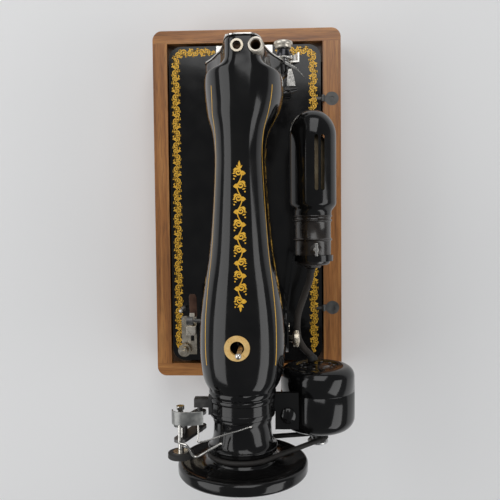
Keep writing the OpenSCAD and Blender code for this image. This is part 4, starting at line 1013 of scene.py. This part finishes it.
def lead():
    points = [(67, 70, 110), (79, 69, 107), (98, 63, 100), (118, 57, 97), (138, 57, 97), (150, 63, 102),
              (156, 70, 108),
              (161, 72, 109)]
    path = smooth_path([at(*p) for p in points], 10)
    piece("braided_lead", [sweep_mesh(path, 3.5, 20)], BRAID, "head", ("lamp_lead",), edge=0)
    ends = [sweep_mesh([path[0] + (path[1] - path[0]).normalized() * d * MM for d in (0.0, 2.2, 4.4)],
                       [4.6, 4.6, 4.0], 24),
            sweep_mesh([path[-1] + (path[-2] - path[-1]).normalized() * d * MM for d in (0.1, 2.4, 5.0)],
                       [5.0, 5.0, 4.2], 24)]
    piece("lead_bushes", ends, RUBBER, "head", edge=0.2)


def thumb_screw():
    soften_cad("lamp_bracket", JAPAN, 0.5, 2, 35.0)
    centre = at(136, 0, 122)
    head = [(2.4, 47.4), (3.4, 47.4), (3.4, 50.6), (4.6, 51.2), (7.0, 51.8),
            *arc(7.2, 52.6, 0.7, -80, 0, 3), *arc(7.2, 56.6, 0.7, 0, 90, 3), (4.8, 57.5), (4.2, 58.0),
            (0, 58.0), (0, 47.4)]
    lathe("thumb_screw_head", head, centre, "Y", CREAM_NICKEL, "thumb_screw", ("thumb_screw",), 64)
    knurl = []
    for z, x in circle(48):
        p = centre + (Z_DIR * z + X_DIR * x) * (7.85 * MM)
        knurl.append(sweep_mesh([p + Y_DIR * d * MM for d in (52.4, 54.6, 56.8)], 0.3, 6))
    piece("thumb_screw_knurl", knurl, CREAM_NICKEL, "thumb_screw", edge=0)


lamp_hood()
lamp_socket()
lamp_switch()
lamp_bulb()
lead()
thumb_screw()


# ---- head fittings, tension, winder and regulator ----
# metres from the middle, past which a rail of the base runs across
END_RAIL_X = 0.190


def grained_frame(name, low, middle, high):
    """Walnut whose grain turns on the two end rails."""
    mat = wood(name, low, middle, high)
    nodes, links = mat.node_tree.nodes, mat.node_tree.links
    coords = nodes.new("ShaderNodeTexCoord")
    parts = nodes.new("ShaderNodeSeparateXYZ")
    links.new(coords.outputs["Object"], parts.inputs["Vector"])
    swapped = nodes.new("ShaderNodeCombineXYZ")
    links.new(parts.outputs["Y"], swapped.inputs["X"])
    links.new(parts.outputs["X"], swapped.inputs["Y"])
    links.new(parts.outputs["Z"], swapped.inputs["Z"])
    size = nodes.new("ShaderNodeMath")
    size.operation = "ABSOLUTE"
    links.new(parts.outputs["X"], size.inputs[0])
    end = nodes.new("ShaderNodeMath")
    end.operation = "GREATER_THAN"
    end.inputs[1].default_value = END_RAIL_X
    links.new(size.outputs["Value"], end.inputs[0])
    choose = nodes.new("ShaderNodeMix")
    choose.data_type = "VECTOR"
    links.new(end.outputs["Value"], choose.inputs["Factor"])
    links.new(coords.outputs["Object"], choose.inputs["A"])
    links.new(swapped.outputs["Vector"], choose.inputs["B"])
    for node in nodes:
        if node.bl_idname == "ShaderNodeMapping":
            links.new(choose.outputs["Result"], node.inputs["Vector"])
    return mat


FITTINGS = {
    "base_frame": (grained_frame("walnut_frame", (0.19, 0.067, 0.016), (0.35, 0.138, 0.034),
                                 (0.52, 0.242, 0.072)), 1.6),
    "hinge_tongues": (HINGE_STEEL, 0.4), "rear_cover": (JAPAN, 0.8), "cover_screws": (CREAM_NICKEL, 0.3),
    "bracket_screws": (JAPAN, 0.4), "head_bushings": (CREAM_NICKEL, 0.5), "shaft_bushings": (BRONZE, 0.3),
    "presser_spring": (STEEL, 0.2), "pressure_screw": (CREAM_NICKEL, 0.6), "presser_lifter": (JAPAN, 0.8),
    "tension_post": (STEEL, 0.3), "tension_discs": (NICKEL, 0.3), "tension_dial": (CREAM_NICKEL, 0.5),
    "thread_guard": (NICKEL, 0.4), "bobbin_case": (STEEL, 0.3), "winder_bracket": (DARK_STEEL, 0.5),
    "winder_arm": (DARK_STEEL, 0.5), "winder_spindle": (NICKEL, 0.3), "winder_tyre": (RUBBER, 0.6),
    "regulator_plate": (CREAM_NICKEL, 0.5), "stitch_lever": (DARK_STEEL, 0.5),
    "winding_tension": (CREAM_NICKEL, 0.3),
    "spool_pin": (NICKEL, 0.3), "spool_ring": (GILT, 0.7), "tension_springs": (STEEL, 0.3),
}
for node, (material, width) in FITTINGS.items():
    soften_cad(node, material, width, 3)


def face_sheet():
    sheet = piece("face_sheet", [prism_mesh(round_corners(FACE_OUTLINE, 3), 1.3, at(FACE_X - 2.4, 0, 0),
                                            Y_DIR, Z_DIR)],
                  NICKEL, "head", ("face_plate",), edge=0)
    cut_away(sheet, NICKEL, [block_mesh(at(-142, -11.5, 100), at(-134, -6.5, 156))])
    soften(sheet, 0.3, 2, 35)


def head_details():
    needle = at(NEEDLE_X, AXIS_Y, 0)
    lathe("needle_bar_end", [(0, 193.4), (3.4, 193.4), (3.4, 194.0), (2.9, 194.4), (0, 194.4)], needle, "Z",
          BROWN,
          "needle_bar", segments=48)


def tension_details():
    check = helix(TENSION, "X", 5.0, -140.6, -138.9, 2, 32)
    check += smooth_path([check[-1], at(-139.4, 36, 106), at(-140.5, 24, 110), at(-141.5, 12, 113),
                          at(-143.5, 9.4, 111),
                          at(-143.8, 11.4, 108.5)], 6)
    piece("check_spring_wire", [sweep_mesh(check, 0.45, 10)], STEEL, "head", ("tension_springs",),
          0)


head_details()
tension_details()
face_sheet()


def winder_details():
    """Spring rods and the folded web of the bobbin winder."""
    long_rod = smooth_path([at(*p) for p in LONG_ROD], 6)
    bent_rod = smooth_path([at(*p) for p in BENT_ROD], 6)
    piece("winder_rods", [sweep_mesh(long_rod, 0.8, 10), sweep_mesh(bent_rod, 1.1, 10)], NICKEL, "head",
          edge=0)
    over = [(-29.5, 193.6), (-33, 195.2), (-40, 196.6), (-48, 196.8), (-54, 195.4), (-57.5, 192),
            (-58.6, 187)]
    under = [(-57.2, 187), (-56.3, 191.2), (-53.4, 194), (-48, 195.2), (-40, 195), (-33, 193.6), (-30, 192)]
    piece("winder_web", [prism_mesh(over + under, 12, at(186.4, 0, 0), Y_DIR, Z_DIR)], WINDER_STEEL, "head",
          edge=0.4)
    gold = lathe_mesh([(8.6, 229.9), (9.6, 229.9), (9.9, 230.2), (9.6, 230.5), (8.6, 230.5), (8.6, 229.9)],
                      at(0, -51, 185), "X", 64)
    piece("winder_tyre_ring", [gold], BRASS, "winder_spindle", edge=0)


LONG_ROD = [(198.0, -34.0, 194.8), (206, -33.4, 196.8), (212.0, -32.1, 198), (204.6, -7.5, 198.5),
            (198.4, 13.3, 197)]
BENT_ROD = [(198.0, -50.5, 195.6), (207, -50.2, 197.6), (212.6, -49.5, 199), (215.0, -43.3, 199.5),
            (224.5, -36.4, 200),
            (219.3, -25.0, 199.5), (213.1, -13.0, 197)]
winder_details()


def raised_leaf(name, outline, thickness, height, material, body, lift=(), edge=0.25):
    """A thin flat leaf in a plane of constant height, each corner raised by its own lift."""
    lift = lift or [0] * len(outline)
    low = [at(x, y, height + z) for (x, y), z in zip(outline, lift)]
    mesh = stitch_rings([low, [p + Z_DIR * (thickness * MM) for p in low]])
    return piece(name, [mesh], material, body, edge=edge)


def tension_leaves():
    raised_leaf("thread_blade", [(-129, 48.6), (-129, 52.0), (-120, 54.6), (-112.4, 55.8), (-112.2, 47.0),
                                 (-120, 47.6)], 0.9,
         111.6, NICKEL, "head", (0, 0, 0.6, 0, 0, 0.9))
    raised_leaf("thread_fork", [(-137.0, 45.4), (-130.6, 56.4), (-119.6, 66.0), (-126.8, 57.6),
                                (-131.5, 49.6), (-133.8, 45.4)],
         0.8, 111.4, NICKEL, "head", (0, 0.6, -1.6, 0, 0, 0))
    cover = [(3.3, -141.4), (7.2, -141.4), (7.6, -143.0), (7.2, -146.0), (6.4, -149.5), (5.6, -151.2),
             (3.3, -151.2),
             (3.3, -141.4)]
    lathe("tension_cover", cover, TENSION, "X", BLUED, "head", ("tension_springs",), 64)
    front = [(3.3, -142.2), (8.6, -142.2), (10.0, -141.2), (10.4, -141.5), (8.8, -142.9), (3.3, -142.9),
             (3.3, -142.2)]
    back = [(r, -283.2 - x) for r, x in front]
    lathe("tension_disc_outer", front, TENSION, "X", NICKEL, "head", ("tension_discs",), 64)
    lathe("tension_disc_inner", back, TENSION, "X", NICKEL, "head", ("tension_discs",), 64)
    nut = [(3.4, -151.8), (7.6, -151.8), (7.9, -152.3), (7.9, -154.4), (9.0, -154.8), (9.4, -155.2),
           (9.4, -157.6),
           (9.0, -158.1), (3.4, -158.1), (3.4, -151.8)]
    lathe("tension_nut", nut, TENSION, "X", SATIN, "tension_dial", ("tension_dial",), 64)
    lathe("tension_stud", [(0, -158.8), (2.6, -158.8), (2.9, -158.4), (2.9, -136.2), (0, -136.2)], TENSION,
          "X", STEEL,
          "head", ("tension_post",), 48)


def crown_screw():
    centre = at(NEEDLE_X, PRESSER_Y, 0)
    profile = [(4.3, 177.0), (6.4, 175.6), (6.75, 176.0), (6.75, 199.4), (6.3, 200.2), (4.8, 200.2),
               (4.3, 199.7),
               (4.3, 177.0)]
    lathe("pressure_screw_ring", profile, centre, "Z", SATIN, "pressure_screw", ("pressure_screw",),
          64)
    lathe("pressure_screw_core", [(4.25, 180.0), (4.25, 199.0), (3.7, 198.4), (3.5, 187.0), (0, 187.0),
                                  (0, 180.0),
                                  (4.25, 180.0)], centre, "Z", BROWN, "pressure_screw",
                                  segments=48)


def lever_tongue():
    raised_leaf("lever_tongue", [(99, -59.2), (99, -53.6), (103, -51.8), (124, -51.6), (124, -59.4),
                                 (102, -60.4)], 1.4, 58.4,
         TARNISHED, "stitch_lever", edge=0.4)
    raised_leaf("lever_clip", [(119.5, -59.5), (119.5, -54.2), (130.5, -54.4), (130.5, -59.7)], 1.2, 60.6,
                SATIN, "stitch_lever",
         edge=0.4)


def spool_details():
    lathe("spool_pin_seat", [(0, 175.4), (6.0, 175.4), (6.0, 178.0), (0, 178.4)], at(SPOOL_X, SPOOL_Y, 0),
          "Z", JAPAN_DULL, "head",
          ("spool_pin",), 48)
    lathe("spool_pin_rod", [(0, 177), (2.0, 177), (1.9, 227.2), (0, 227.2)], at(SPOOL_X, SPOOL_Y + 3, 0),
          "Z", BRONZE, "head",
          ("spool_pin",), 32)
    lathe("spool_pin_ball", arc(0, 228.4, 2.6, -90, 90, 10), at(SPOOL_X, SPOOL_Y + 3, 0), "Z", NICKEL,
          "head", ("spool_pin",),
          32)


def winding_details():
    lathe("winding_ball", [(0, 17.4), *arc(0, 20, 2.5, -90, 90, 8), (0, 17.4)], at(WINDING_X, WINDING_Y, 0),
          "Z", NICKEL,
          "head", segments=32)
    lathe("winding_stem", [(0, 0.2), (3.2, 0.2), (3.2, 2.0), (1.1, 2.6), (1.1, 18.5), (0, 18.5)],
          at(WINDING_X, WINDING_Y, 0),
          "Z", STEEL, "head", segments=32)
    hook = [block_mesh(at(142.5, -70.6, 12.4), at(153.2, -59.6, 14.0)),
            block_mesh(at(142.5, -61.2, 2.0), at(153.2, -59.6, 12.6))]
    piece("winding_eyelet", hook, SATIN, "head", edge=0.5)


tension_leaves()
crown_screw()
winding_details()
lever_tongue()
spool_details()


# ---- camera, light and backdrop ----
def turn(axis, degrees):
    return Matrix.Rotation(math.radians(degrees), 3, axis)


def place_camera():
    """The photograph's view: nearly straight down, with the length of the machine upright in the picture."""
    roll, yaw, pitch = -0.44, 2.47, 2.57
    place = Vector((21.9, 33.2, 775.2))
    data = bpy.data.cameras.new("camera")
    data.sensor_width = 36
    data.lens = 43.2
    data.clip_start = 0.01
    data.clip_end = 20
    camera = bpy.data.objects.new("camera", data)
    bpy.context.collection.objects.link(camera)
    base = Matrix(((0, 1, 0), (1, 0, 0), (0, 0, -1)))
    rows = turn("Z", roll) @ turn("Y", yaw) @ turn("X", pitch) @ base
    right, down, ahead = rows[0], rows[1], rows[2]
    pose = Matrix((right, -down, -ahead)).transposed().to_4x4()
    pose.translation = place * MM
    camera.matrix_world = pose
    bpy.context.scene.camera = camera
    return camera


def area_light(name, place, target, size, power, colour=(1, 1, 1)):
    data = bpy.data.lights.new(name, "AREA")
    data.shape = "RECTANGLE"
    data.size, data.size_y = size
    data.energy = power
    data.color = colour
    light = bpy.data.objects.new(name, data)
    bpy.context.collection.objects.link(light)
    light.location = place
    light.rotation_euler = (Vector(target) - Vector(place)).to_track_quat("-Z", "Y").to_euler()
    return light


def make_floor():
    mesh = bpy.data.meshes.new("studio_floor")
    half, below_base = 3.0, 0.0005
    corners = [(-half, -half, 0), (half, -half, 0), (half, half, 0), (-half, half, 0)]
    mesh.from_pydata(corners, [], [(0, 1, 2, 3)])
    floor = bpy.data.objects.new("studio_floor", mesh)
    bpy.context.collection.objects.link(floor)
    floor.location.z = -below_base
    mat, _, _, shader = new_material("floor")
    set_inputs(shader, Base_Color=(0.86, 0.86, 0.86, 1), Roughness=0.75)
    mesh.materials.append(mat)
    return floor


def set_world():
    world = bpy.data.worlds.new("studio")
    bpy.context.scene.world = world
    world.use_nodes = True
    tree = world.node_tree
    tree.nodes.clear()
    output = tree.nodes.new("ShaderNodeOutputWorld")
    soft = tree.nodes.new("ShaderNodeBackground")
    set_inputs(soft, Color=(0.75, 0.77, 0.8, 1), Strength=0.22)
    clear = tree.nodes.new("ShaderNodeBackground")
    set_inputs(clear, Color=(0.9, 0.9, 0.9, 1), Strength=1.0)
    path = tree.nodes.new("ShaderNodeLightPath")
    mix = tree.nodes.new("ShaderNodeMixShader")
    tree.links.new(path.outputs["Is Camera Ray"], mix.inputs["Fac"])
    tree.links.new(soft.outputs["Background"], mix.inputs[1])
    tree.links.new(clear.outputs["Background"], mix.inputs[2])
    tree.links.new(mix.outputs["Shader"], output.inputs["Surface"])


for node, material in PLAIN.items():
    soften_cad(node, material)
place_camera()
make_floor()
set_world()
area_light("sky_left", (-0.1, -1.3, 1.1), (0, 0, 0.1), (2.0, 1.2), 15)
area_light("sky_top", (-1.2, 0.2, 1.3), (0, 0, 0.12), (1.0, 1.8), 12)
area_light("sky_right", (0.6, 1.3, 1.0), (0, 0, 0.12), (1.6, 0.8), 9)
bpy.context.scene.view_settings.view_transform = "Standard"
